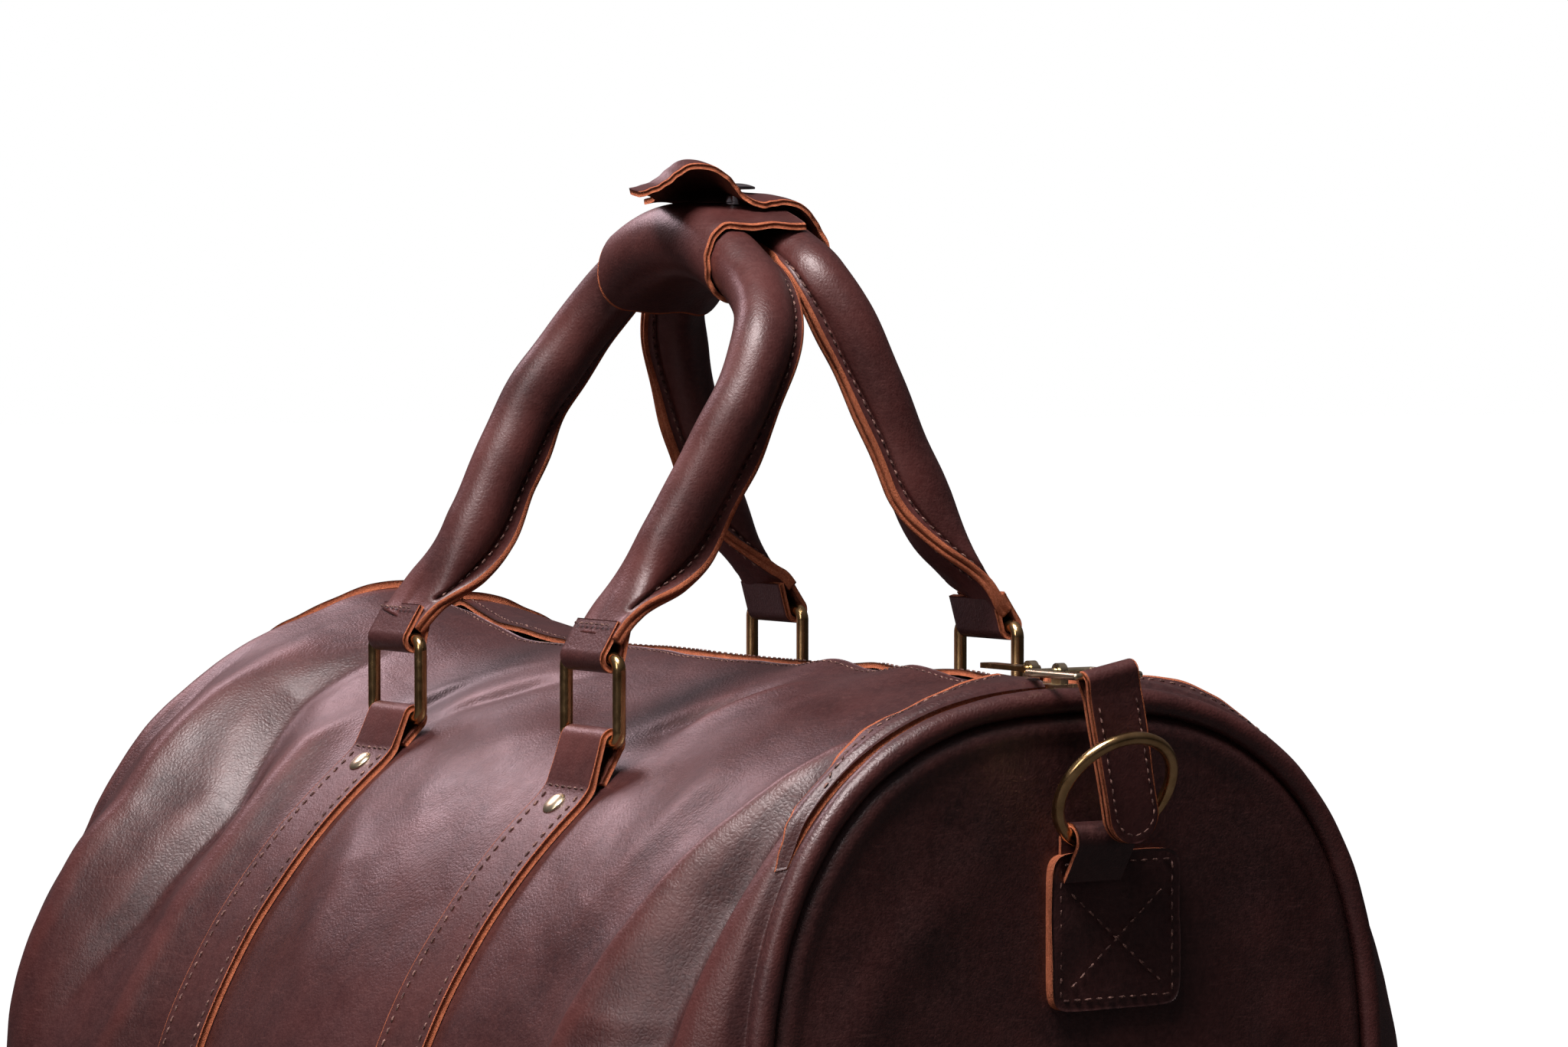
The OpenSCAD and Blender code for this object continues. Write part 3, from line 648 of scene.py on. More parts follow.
def zip_edge(x):
    return ZIP_GAP + 0.7 * np.sin(x / 13.0) + 0.5 * np.sin(x / 5.3 + 1)


def body_stations(count, end=PANEL_END):
    share = np.linspace(-1, 1, count)
    return end * (0.4 * np.sin(share * math.pi / 2) + 0.6 * share)


def make_body_panel(side, name, node):
    x = body_stations(340)
    a = spaced_angles(x, 230, zip_edge(x))
    x = np.repeat(x[:, None], a.shape[1], 1)
    top, _ = on_body(side, x, a)
    bottom, _ = on_body(side, x, a, -LEATHER_T)
    bend = relief(side, x, a)
    around = relief(side, np.clip(x + 9, -250, 250), a) + relief(side, np.clip(x - 9, -250, 250), a)
    wear = 0.55 * smooth_step(bend - around / 2, 0.25, 1.8)
    obj = slab_mesh(name, top, bottom, [LEATHER, LEATHER, EDGE], wear)
    settle(obj, "bag", "leather", node)
    x = np.linspace(-240, 206, 500)
    line, up = on_body(side, x, angle_at(x, zip_edge(x) + 4.2))
    stitches(f"{name}_zip_stitching", line, up, "bag", pitch=3.6, long=2.6, radius=0.36)


# ---------- ends: panels, piping and facings ----------

END_CENTRE = np.array([0.0, 150.0])


def end_outline(inset, count):
    """Outline of an end in the YZ plane, moved inwards, from the base on one side over the top to the other."""
    a = np.linspace(-88, 89.5, count)
    x = np.full_like(a, float(PANEL_END))
    n = section_normal(x, a)
    y, z = section(x, a)
    half = np.stack([y - inset * n[:, 0], z - inset * n[:, 1]], -1)
    other = half[::-1] * [-1, 1]
    return even(np.vstack([half, other, half[:1]]), 2 * count)[:-1]


def end_dome(y, z, seed):
    """How far an end panel bulges past its seam."""
    span = np.clip(1 - (np.abs(y) / 128) ** 2.4, 0, 1) * np.clip(1 - (np.abs(z - 142) / 134) ** 2.6, 0, 1)
    patch = bell(np.maximum(0, np.hypot(y - 14, z - 212) - 42), 26)
    low = bell(z - 95, 62)
    out = 9.0 * span**0.7 * low * (1 - patch)
    waves = 1.6 * ripples(y, z, seed, 120) + 0.5 * ripples(y, z, seed + 5, 42)
    roll = 2.4 * bell(np.hypot(y / 1.02, (z - 132) * 1.02) - 104, 13)
    return out + (waves + roll) * span**0.5 * (1 - patch)


def make_end_panel(side, name, node):
    shares = np.concatenate([[0.02], np.linspace(0.06, 0.94, 46), [0.955, 0.968, 0.98, 0.99, 1.0]])
    grid = END_CENTRE + (end_outline(5.2, 110)[None] - END_CENTRE) * shares[:, None, None]
    y, z = grid[..., 0], grid[..., 1]
    groove = 5.0 * smooth_step(shares, 0.945, 1.0)[:, None]
    seed = 40 + side
    x = HALF_L + end_dome(y, z, seed) * (1 - smooth_step(shares, 0.86, 0.97)[:, None]) - groove
    x = x + 1.6 * bell(shares - 0.93, 0.02)[:, None]
    outer = np.stack([side * x, y, z], -1)
    inner = np.stack([side * (x - LEATHER_T), y, z], -1)
    wear = np.clip(smooth_step(end_dome(y, z, seed), 4, 11) * 0.5, 0, 1)
    wear = np.concatenate([wear, wear[::-1]])
    # The end panel takes the darker copy of the leather: painted shade
    settle(tube_mesh(name, np.concatenate([outer, inner[::-1]]), [END_LEATHER_PAINTED_SHADE], wear=wear), "bag", "leather", node)


def make_piping(side, name, node):
    line = end_outline(PIPING_IN, 150)
    n = len(line)
    way = unit(np.roll(line, -1, 0) - np.roll(line, 1, 0))
    out = np.stack([way[:, 1], -way[:, 0]], -1)
    run = np.arange(n) * 2 * math.pi / n
    round_ = np.linspace(0, 2 * math.pi, 17)[:-1]
    r = PIPING_R * (1 + 0.02 * np.sin(17 * run) + 0.015 * np.sin(41 * run))[:, None]
    c, s = r * np.cos(round_), r * np.sin(round_)
    x = side * (HALF_L - 2.2 + s)
    rings = np.stack([x, line[:, None, 0] + c * out[:, None, 0], line[:, None, 1] + c * out[:, None, 1]], -1)
    wear = 0.35 * np.clip(np.sin(round_), 0, 1)[None] * np.ones((n, 1))
    settle(tube_mesh(name, rings, [LEATHER], closed=True, wear=wear), "bag", "leather", node)


def make_end_facing(end, side, name, node):
    """The raw-edged layer beside the piping: wide at the zip, and running out down the side."""
    gap, lift = 8.4, 3.0
    low, high = 34.0, float(angle_at(end * PANEL_END, gap))
    t = np.linspace(down_at(low), down_at(high), 110)
    a = angle_of(t)
    share = (a - low) / (90 - low)
    wander = (0.8 * np.sin(t / 7.0) + 0.5 * np.sin(t / 3.1)) * smooth_step(share, 0, 0.2)
    wide = 2.2 + 28.8 * share**1.25 + wander
    across = np.concatenate([[0, 0.05, 0.11], np.linspace(0.2, 1, 12)])
    x = end * (PANEL_END - 0.6 - wide[:, None] * (1 - across))
    a = np.minimum(a[:, None], angle_at(x, gap))
    puffed = 0.5 * bell(across, 0.2) * share[:, None] - 2.4 * (1 - smooth_step(share, 0, 0.16))[:, None]
    top, _ = on_body(side, x, a, lift + puffed)
    bottom, _ = on_body(side, x, a, 0.3)
    faces = np.where(np.arange(len(across) - 1) < 2, 2, 0)
    settle(slab_mesh(name, top, bottom, [LEATHER, SUEDE, EDGE], columns=faces), "bag", "leather", node)
    inset = PANEL_END - wide + 5.5
    line, up = on_body(side, end * inset, np.minimum(angle_of(t), angle_at(end * inset, gap + 1.1)), lift)
    keep = share > 0.25
    stitches(f"{name}_stitching", line[keep], up[keep], "bag", pitch=4.2, long=3.0)


# ---------- inside and base ----------


def make_lining():
    cloth_t = 0.8
    for side, name in ((FRONT, "front_lining"), (REAR, "rear_lining")):
        x = body_stations(90, PANEL_END - 4)
        a = spaced_angles(x, 60, 18.5)
        x = np.repeat(x[:, None], a.shape[1], 1)
        slack = 0.5 * (1 + ripples(x, down_at(a), 70 + side, 40) / 2.7)
        top, _ = on_body(side, x, a, -LEATHER_T - 1.2 - slack)
        bottom, _ = on_body(side, x, a, -LEATHER_T - 1.2 - cloth_t - slack)
        floor = 0 * top[:, :1]
        floor[..., 0], floor[..., 2] = top[:, :1, 0], BASE_T + 2.6
        top, bottom = np.concatenate([floor, top], 1), np.concatenate([floor - [0, 0, cloth_t], bottom], 1)
        settle(slab_mesh(name, top, bottom, [LINING] * 3), "bag", "cloth", "lining")
    grid = END_CENTRE + (end_outline(15, 60)[None] - END_CENTRE) * np.linspace(0.02, 1, 16)[:, None, None]
    for side, name in ((RIGHT, "right_lining"), (LEFT, "left_lining")):
        x = PANEL_END - 1 + 0.4 * ripples(grid[..., 0], grid[..., 1], 77, 60)
        face = np.stack([side * x, grid[..., 0], grid[..., 1]], -1)
        rings = np.concatenate([face, (face - [side * cloth_t, 0, 0])[::-1]])
        settle(tube_mesh(name, rings, [LINING]), "bag", "cloth", "lining")


def make_base():
    x = np.linspace(-PANEL_END, PANEL_END, 120)[:, None]
    y = (BASE_RATIO * half_w(x) + 5) * np.linspace(-1, 1, 70)[None]
    x = x + 0 * y
    sag = 0.4 + 0.4 * ripples(x, y, 91, 90) / 2.7
    top = np.stack([x, y, BASE_T + 0 * x], -1)
    bottom = np.stack([x, y, sag], -1)
    settle(slab_mesh("base_leather", top, bottom, [LEATHER, LEATHER, EDGE]), "bag", "leather", "base_panel")


# ---------- zip ----------

ZIP_LEFT, ZIP_RIGHT, TAPE_TOP, TAPE_T = -240, 250, 288.6, 0.8
TOOTH_PITCH = 4.0
# One tooth: its outline across the zip as (x, height), and its depths from the middle with the size at each
TOOTH = np.array([(-0.95, 0), (-0.95, 2.5), (-0.6, 3.2), (0, 3.4), (0.6, 3.2), (0.95, 2.5), (0.95, 0)])
TOOTH_DEPTHS = np.array([(0.6, 0.75), (1.0, 1.0), (2.6, 1.0), (3.5, 0.86)])


def make_zip():
    for side, word in ((FRONT, "front"), (REAR, "rear")):
        x = np.linspace(ZIP_LEFT - 8, ZIP_RIGHT, 260)[:, None]
        y = np.linspace(2.6, 17, 14)[None]
        x, y = x + 0 * y, y + 0 * x
        z = TAPE_TOP + 0.15 * np.sin(x / 9) - 0.25 * np.maximum(0, y - 8) / 9
        top = np.stack([x, side * y, z], -1)
        obj = slab_mesh(f"zip_tape_cloth_{word}", top, top - [0, 0, TAPE_T], [TAPE] * 3)
        settle(obj, "bag", "cloth", f"zip_tape_{word}")
        count = int((ZIP_RIGHT - ZIP_LEFT) / TOOTH_PITCH)
        start = ZIP_LEFT + 1 + (0 if side == FRONT else TOOTH_PITCH / 2)
        depth, size = TOOTH_DEPTHS[:, :1], TOOTH_DEPTHS[:, 1:]
        x = start + TOOTH_PITCH * np.arange(count)[:, None, None] + TOOTH[:, 0] * size
        z = TAPE_TOP - TAPE_T + TOOTH[:, 1] * (0.6 + 0.4 * size)
        points = np.stack(np.broadcast_arrays(x, side * depth, z), -1).reshape(-1, 3)
        faces = copies(loft(len(TOOTH_DEPTHS), len(TOOTH)), len(TOOTH_DEPTHS) * len(TOOTH), count)
        faces = faces if side == FRONT else [f[::-1] for f in faces]
        obj = new_mesh(f"zip_teeth_row_{word}", points, faces, [TEETH_BRASS], smooth=False)
        settle(obj, "bag", "antique_brass", f"zip_teeth_{word}")


# ---------- straps ----------


def teardrop(apex, centre, radius, count=26):
    """Middle line of a strap pulled round a bar: from the apex round the circle and back to the apex."""
    apex, centre = np.asarray(apex, float), np.asarray(centre, float)
    away = apex - centre
    size = np.hypot(*away)
    open_ = math.acos(min(1, radius / size))
    base = math.atan2(away[1], away[0])
    angles = np.linspace(base + open_, base + 2 * math.pi - open_, count)
    return centre + radius * np.stack([np.cos(angles), np.sin(angles)], -1)


def ribbon(name, paths, x, thick, materials, wear, centre):
    """A strap from its middle line at each x: paths is (across, along, 2), points (y, z). Its good side faces away
    from the centre, and its raw edges show as a narrow strip on both sides of it."""
    n = flat_normal(paths)
    if np.mean(np.sum(n * (paths - centre), -1)) < 0:
        n = -n
    grow = np.broadcast_to(thick, paths.shape[:2])[..., None] / 2
    xs = np.broadcast_to(x, paths.shape[:2])[..., None]
    top = np.concatenate([xs, paths + n * grow], -1)
    bottom = np.concatenate([xs, paths - n * grow], -1)
    return top, slab_mesh(name, top, bottom, materials, wear, raw=True)


def raw_rows(outer, step, inner, count):
    """Places across a strip: close together at its two raw edges, and evenly spread between them."""
    return np.concatenate([[-outer, -step], np.linspace(-inner, inner, count), [step, outer]])


def make_strap(side, x0, name, node):
    bar_y, bar_z = BAR[side]
    u = raw_rows(15.5, 14.9, 13.6, 13)
    flip = [side, 1]
    on, rise = 150, 1.75
    leave = float(angle_at(x0, bar_y + 10))
    down = np.linspace(down_at(-72), down_at(leave), on)
    a = angle_of(down)
    # Across its width the strap follows the leather only in part, and stays flatter than it
    paths = []
    for ux in u:
        lines = [on_body(side, x0 + k * ux + 0 * a, a, rise)[0][:, 1:] * flip for k in (1, 0.4)]
        body = 0.4 * lines[0] + 0.6 * lines[1]
        loop = teardrop(body[-1], (bar_y, bar_z), LOOP_R)
        if loop[0, 1] < loop[-1, 1]:
            loop = loop[::-1]
        end = on_body(side, np.array([x0 + ux]), np.array([angle_at(x0, bar_y + 5)]), 1.0)[0][:, 1:] * flip
        paths.append(np.vstack([even(body, on), even(np.vstack([body[-1:], loop, end]), 60)[1:]]))
    paths = np.array(paths)
    steps = np.arange(paths.shape[1])
    # The bend where the strap leaves the body is made soft
    first, last, reach = on - 10, on + 20, 4
    soft = sum(paths[:, first + d:last + d] for d in range(-reach, reach + 1)) / (2 * reach + 1)
    place = np.arange(last - first)
    ease = np.minimum(1, np.minimum(place, place[::-1]) / 6)[None, :, None]
    paths[:, first:last] = paths[:, first:last] * (1 - ease) + soft * ease
    thick = STRAP_T - np.where(np.abs(u) > 15.2, 0.35, 0)[:, None] * np.ones((1, len(steps)))
    thick = thick * (1 - 0.22 * smooth_step(steps, on, on + 15)[None])
    xs, paths = x0 + u[:, None], paths * flip
    if side == FRONT:
        xs, paths = xs[::-1], paths[::-1]
    wear = 0.25 + 0.45 * bell(steps - on - 22, 14)[None] * np.ones((len(u), 1))
    top, obj = ribbon(name, paths, xs, thick, [STRAP_LEATHER, SUEDE, EDGE], wear, (0, 100))
    settle(obj, "bag", "leather", node)
    for edge, word in ((-11.6, "a"), (11.6, "b")):
        line = top[int(np.argmin(np.abs(xs[:, 0] - x0 - edge))), 2:on]
        _, up = on_body(side, line[:, 0], angle_of(np.linspace(down[0], down[-1], on - 2)))
        stitches(f"{name}_stitching_{word}", line, up, "bag", 4.6, 3.3)
    row = top[:, on + 1]
    row = row[np.argsort(row[:, 0])][2:-2]
    _, up = on_body(side, row[:, 0], np.full(len(row), leave))
    stitches(f"{name}_stitching_c", row, up, "bag", 4.0, 2.9)


# Half outline of a rivet, as (radius, height): its domed head, then its shank
RIVET = np.array([(0.02, 1.7), (1.4, 1.65), (2.8, 1.45), (3.9, 1.1), (4.7, 0.6), (5.1, 0.1), (5.1, -0.3), (1.7, -0.5),
                  (1.6, -5.2), (0.02, -5.2)])


def make_rivets():
    turn = np.linspace(0, 2 * math.pi, 37)[:-1]
    r, height = RIVET[:, :1, None], RIVET[:, 1:, None]
    for side, word in ((FRONT, "front"), (REAR, "rear")):
        for x, hand in ((-STRAP_X, "left"), (STRAP_X, "right")):
            a = float(angle_at(x, BAR[side][0] + 15.5))
            p, n = on_body(side, np.array([x]), np.array([a]), 3.5)
            up, across = unit(n[0]), np.array([1.0, 0, 0])
            round_ = np.cos(turn)[:, None] * across + np.sin(turn)[:, None] * np.cross(up, across)
            obj = tube_mesh(f"rivet_{word}_{hand}", p[0] + r * round_ + height * up, [PALE_BRASS])
            settle(obj, "bag", "pale_brass", "strap_rivets")


# ---------- handles ----------

# Centre lines of the two handles, from the left strap over the top to the right strap
FRONT_LINE = [(-79, -94, 305.2), (-76.5, -85.5, 316), (-70, -68, 338), (-69, -55.5, 364), (-66, -41, 393),
              (-58, -27, 416), (-45, -17.2, 434.8), (-31, -15, 444.6), (-12, -15, 452), (10, -15, 455),
              (32, -15, 452), (50, -15, 445), (66, -16.8, 436), (82, -22.5, 425), (91.5, -30.5, 410),
              (93.5, -40, 392), (90, -49, 373), (85, -58.5, 352), (81, -70, 333), (79.5, -85.5, 316),
              (79, -94, 305.2)]
REAR_LINE = [(-79, 80.5, 312.7), (-80.5, 72, 322), (-81, 60.5, 339), (-80, 49, 362), (-74, 37, 390),
             (-64, 26, 414), (-50, 17.5, 431.5), (-36, 15, 441.8), (-14, 15, 451.4), (10, 15, 455),
             (32, 15, 452), (48, 15, 446), (60, 16.2, 438.6), (68, 23.5, 423), (72, 34, 398),
             (75.5, 46, 368), (78.5, 59, 340), (80, 72, 322), (79, 80.5, 312.7)]
HANDLE_R, FLAT_W, FLAT_H = 11.5, 15.5, 2.7
WRAP_X0, WRAP_X1 = -34, 50


def frames(line):
    way = tangents(line)
    across = unit(np.array([0.0, 1.0, 0.0]) - way[:, 1:2] * way)
    return way, across, np.cross(across, way)


# The ridge of the seam, as (sideways, outward); outward below 0 is its root inside the tube
FIN = [(-1.0, -0.6), (-1.0, 0.72), (-0.8, 1.0), (-0.2, 1.03), (0.0, 0.6), (0.2, 1.0), (0.8, 1.04), (1.0, 0.72),
       (1.0, -0.6)]


def oval(w, h, along, across):
    """Radius of an oval of half sizes w and h, in the direction given by along and across."""
    return 1 / np.sqrt((along / w) ** 2 + (across / h) ** 2)


def make_handle(side, points, name, node):
    line = curve_through(points, 420)
    run = run_along(line)
    total = run[-1]
    _, across, along = frames(line)
    near_end = np.minimum(run, total - run)
    k = smooth_step(near_end, 4, 50)
    w, h = FLAT_W + (HANDLE_R - FLAT_W) * k, FLAT_H + (HANDLE_R - FLAT_H) * k
    left_half = 1 - smooth_step(run, total * 0.35, total * 0.65)
    turn = 88 - 66 * smooth_step(near_end, 6, 62) - 18 * smooth_step(near_end, 70, 130)
    turn = np.radians(turn) * (2 * left_half - 1)
    inner = -side * 1.0
    seam = across * (inner * np.cos(turn))[:, None] + along * np.sin(turn)[:, None]
    aside = across * (-inner * np.sin(turn))[:, None] + along * np.cos(turn)[:, None]
    reach = oval(w, h, np.sin(turn), np.cos(turn))
    x = line[:, 0]
    under_wrap = smooth_step(x, WRAP_X0 - 6, WRAP_X0 + 4) * (1 - smooth_step(x, WRAP_X1 - 4, WRAP_X1 + 6))
    under_wrap = under_wrap * (line[:, 2] > 425)
    fin = 1.0 + 5.2 * smooth_step(near_end, 8, 34) * (1 - 0.45 * smooth_step(near_end, 60, 120))
    fin = fin * (1 - 0.85 * under_wrap) + 0.35 * np.sin(run / 6.1) * (1 - under_wrap)
    half = np.minimum(2.5, 0.9 * np.minimum(w, h) + 0.2)
    rings = []
    for lateral, out in FIN:
        height = reach - 0.9 if out < 0 else reach + fin * out
        rings.append(line + aside * (lateral * half)[:, None] + seam * height[:, None])
    open_angle = np.arcsin(np.clip((half + 0.5) / np.maximum(reach, 3.2), 0, 0.9))
    for share in np.linspace(0, 1, 40):
        angle = open_angle + (2 * math.pi - 2 * open_angle) * share
        d_across, d_along = inner * np.cos(turn + angle), np.sin(turn + angle)
        pinch = 1 - 0.05 * bell(near_end - 30, 16) * np.cos(2 * angle)
        r = oval(w, h, d_along, d_across) * pinch
        rings.append(line + across * (d_across * r)[:, None] + along * (d_along * r)[:, None])
    grid = np.stack(rings, 1)
    around = np.arange(grid.shape[1])[None]
    bumps = 0.35 * ripples(run[:, None], around * 1.8, 31 + side, 46) * (1 - under_wrap[:, None])
    grid = grid + unit(grid - line[:, None]) * bumps[..., None]
    wear = np.clip(0.35 + 0.3 * ripples(run[:, None], around * 2.0, 37 + side, 60), 0, 0.9)
    material = [0] + [1] * 6 + [0] * (len(rings) - 7)
    obj = tube_mesh(name, grid, [HANDLE_LEATHER, EDGE, HANDLE_LEATHER], material, wear=wear)
    settle(obj, "handles", "leather", node)
    for hand, word in ((-1, "a"), (1, "b")):
        place = line + aside * (hand * (half + 0.25))[:, None] + seam * (reach + fin * 0.15)[:, None]
        lean = unit(aside * hand + 0.25 * seam)
        for part, keep in (("left", run < total * 0.5), ("right", run >= total * 0.5)):
            keep = keep & (near_end > 16) & (under_wrap < 0.2)
            stitches(f"{name}_stitching_{part}_{word}", place[keep], lean[keep], "handles", 4.2, 3.0, 0.4)
    make_handle_loop(side, -STRAP_X, line[0], line[14], name, "left", node)
    make_handle_loop(side, STRAP_X, line[-1], line[-15], name, "right", node)


def make_handle_loop(side, x0, start, further, name, word, node):
    """The flat end of a handle, folded round the bar of its ring and stitched across."""
    bar_y, bar_z = BAR[side][0], BAR[side][1] + RING_H
    apex = start + (further - start) * 0.45
    tip = np.array([side * apex[1], apex[2]])
    drop = teardrop(tip, (bar_y, bar_z), LOOP_R, 34)
    gap = 2.0 * unit(drop[0] - drop[-1])
    path = even(np.vstack([tip + gap, drop, tip - gap]), 70)
    u = raw_rows(15.5, 15.1, 13, 9)
    wide, xs = np.repeat(path[None] * [side, 1], len(u), 0), x0 + u[:, None]
    thick = np.where(np.abs(u) > 15.2, 2.0, LOOP_T)[:, None] * np.ones((1, len(path)))
    if side == FRONT:
        wide, xs = wide[::-1], xs[::-1]
    looks = [STRAP_LEATHER, SUEDE, EDGE]
    _, obj = ribbon(f"{name}_loop_{word}", wide, xs, thick, looks, 0.15 + 0 * thick, (side * bar_y, bar_z))
    settle(obj, "handles", "leather", node)
    way = unit(further - start)
    face = unit(np.cross([1.0, 0, 0], way))
    face = face if face[1] * side > 0 else -face
    row = np.array([x0, apex[1], apex[2]]) + np.outer(np.linspace(-13.5, 13.5, 30), [1, 0, 0])
    row, up = row + face * 4.0 - way * 3.5, np.repeat(face[None], 30, 0)
    stitches(f"{name}_cross_stitching_{word}", row, up, "handles", 3.8, 2.8, 0.42)


def make_core(points, name, node):
    line = curve_through(points, 300)[14:-14]
    _, across, along = frames(line)
    run = np.arange(len(line))[:, None]
    angle = np.linspace(0, 2 * math.pi, 25)[:-1][None]
    near_end = np.minimum(run, len(line) - 1 - run)
    r = (7.6 + 0.5 * np.cos(3 * (angle - run / 7.0))) * (0.25 + 0.75 * smooth_step(near_end, 0, 26))
    squash = 0.35 + 0.65 * smooth_step(near_end, 0, 30)
    flat, tall = r * squash * np.cos(angle), r * np.sin(angle)
    rings = line[:, None] + across[:, None] * flat[..., None] + along[:, None] * tall[..., None]
    settle(tube_mesh(name, rings, [CORD]), "handles", "cord", node)


# ---------- wrap ----------

CROWN_X, CROWN_Z, CROWN_ROUND = 10, 455, 160
WRAP_IN, WRAP_T = 12.4, 2.2
FLAP_X0, FLAP_X1 = -12, 38
# The flap is cut along these lines, as (y, height over the crown), at its far and its near edge
FLAP_FAR = [(32.3, 2), (31.6, 6.5), (28.4, 12), (22.8, 16.2), (15, 18.0), (8, 18.1), (1, 18.1), (-6, 18.0),
            (-11, 17.9), (-16, 17.7), (-20, 17.2)]
FLAP_NEAR = [(33.4, 1), (32.8, 5.5), (29.2, 11.4), (22.8, 16.2), (15, 18.0), (8, 18.1), (2, 18.1), (-5, 20.0),
             (-12, 26.0), (-19, 30.4), (-27, 31.0), (-34, 27.5), (-41, 22.5), (-51, 19.5)]


def on_crown(x, p):
    slope = 2 * (x - CROWN_X) / CROWN_ROUND
    rise = CROWN_Z - (x - CROWN_X) ** 2 / CROWN_ROUND
    return np.stack([x + 0 * p[..., 0], p[..., 0], rise + p[..., 1] * np.sqrt(1 + slope * slope)], -1)


def wrap_sheet(name, body, node, far_line, near_line, x0, x1, seed):
    """A thick leather sheet that passes from one line in the YZ plane to another, with raw edges that wander."""
    far_line, near_line = (even(np.asarray(line, float), 130) for line in (far_line, near_line))
    share = np.concatenate([[0, 0.014], np.linspace(0.04, 0.96, 22), [0.986, 1]])
    turn = smooth_step(share, 0.1, 0.9)[:, None, None]
    line = far_line[None] * (1 - turn) + near_line[None] * turn
    n = flat_normal(line)
    s = np.linspace(0, length_of(near_line), 130)
    waves = ripples(s, 0 * s, seed, 26, 5) + 0.35 * ripples(s, 0 * s, seed + 6, 7, 4)
    near, far = x1 + 1.1 * waves, x0 - 1.0 * ripples(s, 0 * s, seed + 3, 30, 5)
    x = far + (near - far) * share[:, None]
    flare = 0.8 * ripples(s, 0 * s, seed + 9, 34, 4)[None] * (np.abs(share - 0.5)[:, None] * 2) ** 6
    thick = np.where((share < 0.005) | (share > 0.995), 0.8, 1.0)[:, None] * WRAP_T * np.ones((1, 130))
    line = line + n * flare[..., None]
    top = on_crown(x, line + n * thick[..., None] / 2)
    bottom = on_crown(x, line - n * thick[..., None] / 2)
    wear = np.clip(0.25 + 0.25 * ripples(x, s[None], seed + 4, 45), 0, 0.8)
    obj = slab_mesh(name, top, bottom, [HANDLE_LEATHER, SUEDE, EDGE], wear, raw=True)
    return settle(obj, body, "leather", node)


def arc(cy, cz, r, a0, a1):
    a = np.radians(np.linspace(a0, a1, 24))
    return [(cy + r * math.cos(v), cz + r * math.sin(v)) for v in a]


def make_wrap():
    r = WRAP_IN + WRAP_T / 2
    sleeve = [(16, r), *arc(-15, 0, r, 90, 270), *arc(15, 0, r, -90, 8)]
    wrap_sheet("grip_sleeve", "handles", "grip_wrap", sleeve[::-1], sleeve[::-1], WRAP_X0, WRAP_X1, 51)
    far, near = (curve_through([(*p, 0) for p in line], 90)[:, :2] for line in (FLAP_FAR, FLAP_NEAR))
    wrap_sheet("grip_flap", "flap", "wrap_flap", far[::-1], near[::-1], FLAP_X0, FLAP_X1, 61)


# ---------- end patches and the leather pull ----------

PATCH_Y, PATCH_Z, PATCH_SIDE = 14, 207, 56
ROUND_RING_Y, ROUND_RING_Z = 3, 240


def round_square(count, side):
    """A grid over a square with round corners."""
    power = 9.0
    g = np.linspace(-1, 1, count)
    g = np.sign(g) * np.abs(g) ** 0.8
    u, v = np.meshgrid(g, g, indexing="ij")
    top = np.maximum(np.maximum(np.abs(u), np.abs(v)), 1e-6)
    shape = np.maximum(np.abs(u / top) ** power + np.abs(v / top) ** power, 1) ** (-1 / power)
    return u * shape * side / 2, v * shape * side / 2


def make_patch(side, name, node):
    """The square patch of an end with its stitched border and cross, and the loop that holds the round ring."""
    y, z = round_square(41, PATCH_SIDE)
    face = HALF_L + 0.2
    curl = 2.4 * smooth_step(-y, 16, 28)
    wave = 0.35 * ripples(y, z, 81 + side, 30)
    x = face + 2.6 + curl * 0.6 + wave + 0.5 * bell(y - 1, 12) * smooth_step(z, -5, 20)
    top, bottom = (np.stack([side * at, PATCH_Y + y, PATCH_Z + z], -1) for at in (x, x - 2.4 - curl))
    if side == LEFT:
        top, bottom = top[::-1], bottom[::-1]
    # The patch takes the darker copy of the leather: painted shade
    settle(slab_mesh(name, top, bottom, [END_LEATHER_PAINTED_SHADE, SUEDE, EDGE]), "bag", "leather", node)
    corner = [(-24, -24), (24, -24), (24, 24), (-24, 24)]
    rows = [(corner[i - 4], corner[i - 3]) for i in range(4)] + [((-20, -20), (20, 14)), ((20, -20), (-20, 14))]
    share = np.linspace(0, 1, 30)[:, None]
    for i, (a, b) in enumerate(rows):
        yz = np.array(a) * (1 - share) + np.array(b) * share + [PATCH_Y, PATCH_Z]
        line = np.concatenate([side * (face + 2.9) + 0 * share, yz], 1)
        up = np.repeat([[side * 1.0, 0, 0]], 30, 0)
        stitches(f"{name}_stitching_{i + 1}", line, up, "bag", 4.4, 3.1, 0.42, 0.35)
    drop = teardrop((3.4, -14), (7, 0), 5.5, 40)
    drop = drop if drop[0, 0] > drop[-1, 0] else drop[::-1]
    path = even(np.vstack([[3.6, -15], drop, [1.2, -12]]), 70)
    u = raw_rows(12, 11.6, 10, 7)
    wide = np.repeat(path[None], len(u), 0)
    y = ROUND_RING_Y + u[:, None] + 0 * wide[..., 0]
    sheets = []
    for q in (wide + 0.8 * flat_normal(wide), wide - 0.8 * flat_normal(wide)):
        sheets.append(np.stack([side * (HALF_L + q[..., 0]), y, ROUND_RING_Z + q[..., 1]], -1))
    # The patch loop takes the darker copy of the leather: painted shade
    settle(slab_mesh(f"{name}_loop", *sheets, [END_LEATHER_PAINTED_SHADE, END_LEATHER_PAINTED_SHADE, EDGE]), "bag", "leather", node)


TAB_X, TAB_Z, TAB_LONG, TAB_HALF = 276.5, 298, 60.0, 11.0
TAB_LEAN = math.radians(11)


def hung(x, y, z):
    """Places points of the leather pull, z up from its bar, with the whole pull leaning to the front."""
    c, k = math.cos(TAB_LEAN), math.sin(TAB_LEAN)
    return np.stack([x, y * c - z * k, TAB_Z + z * c + y * k], -1)


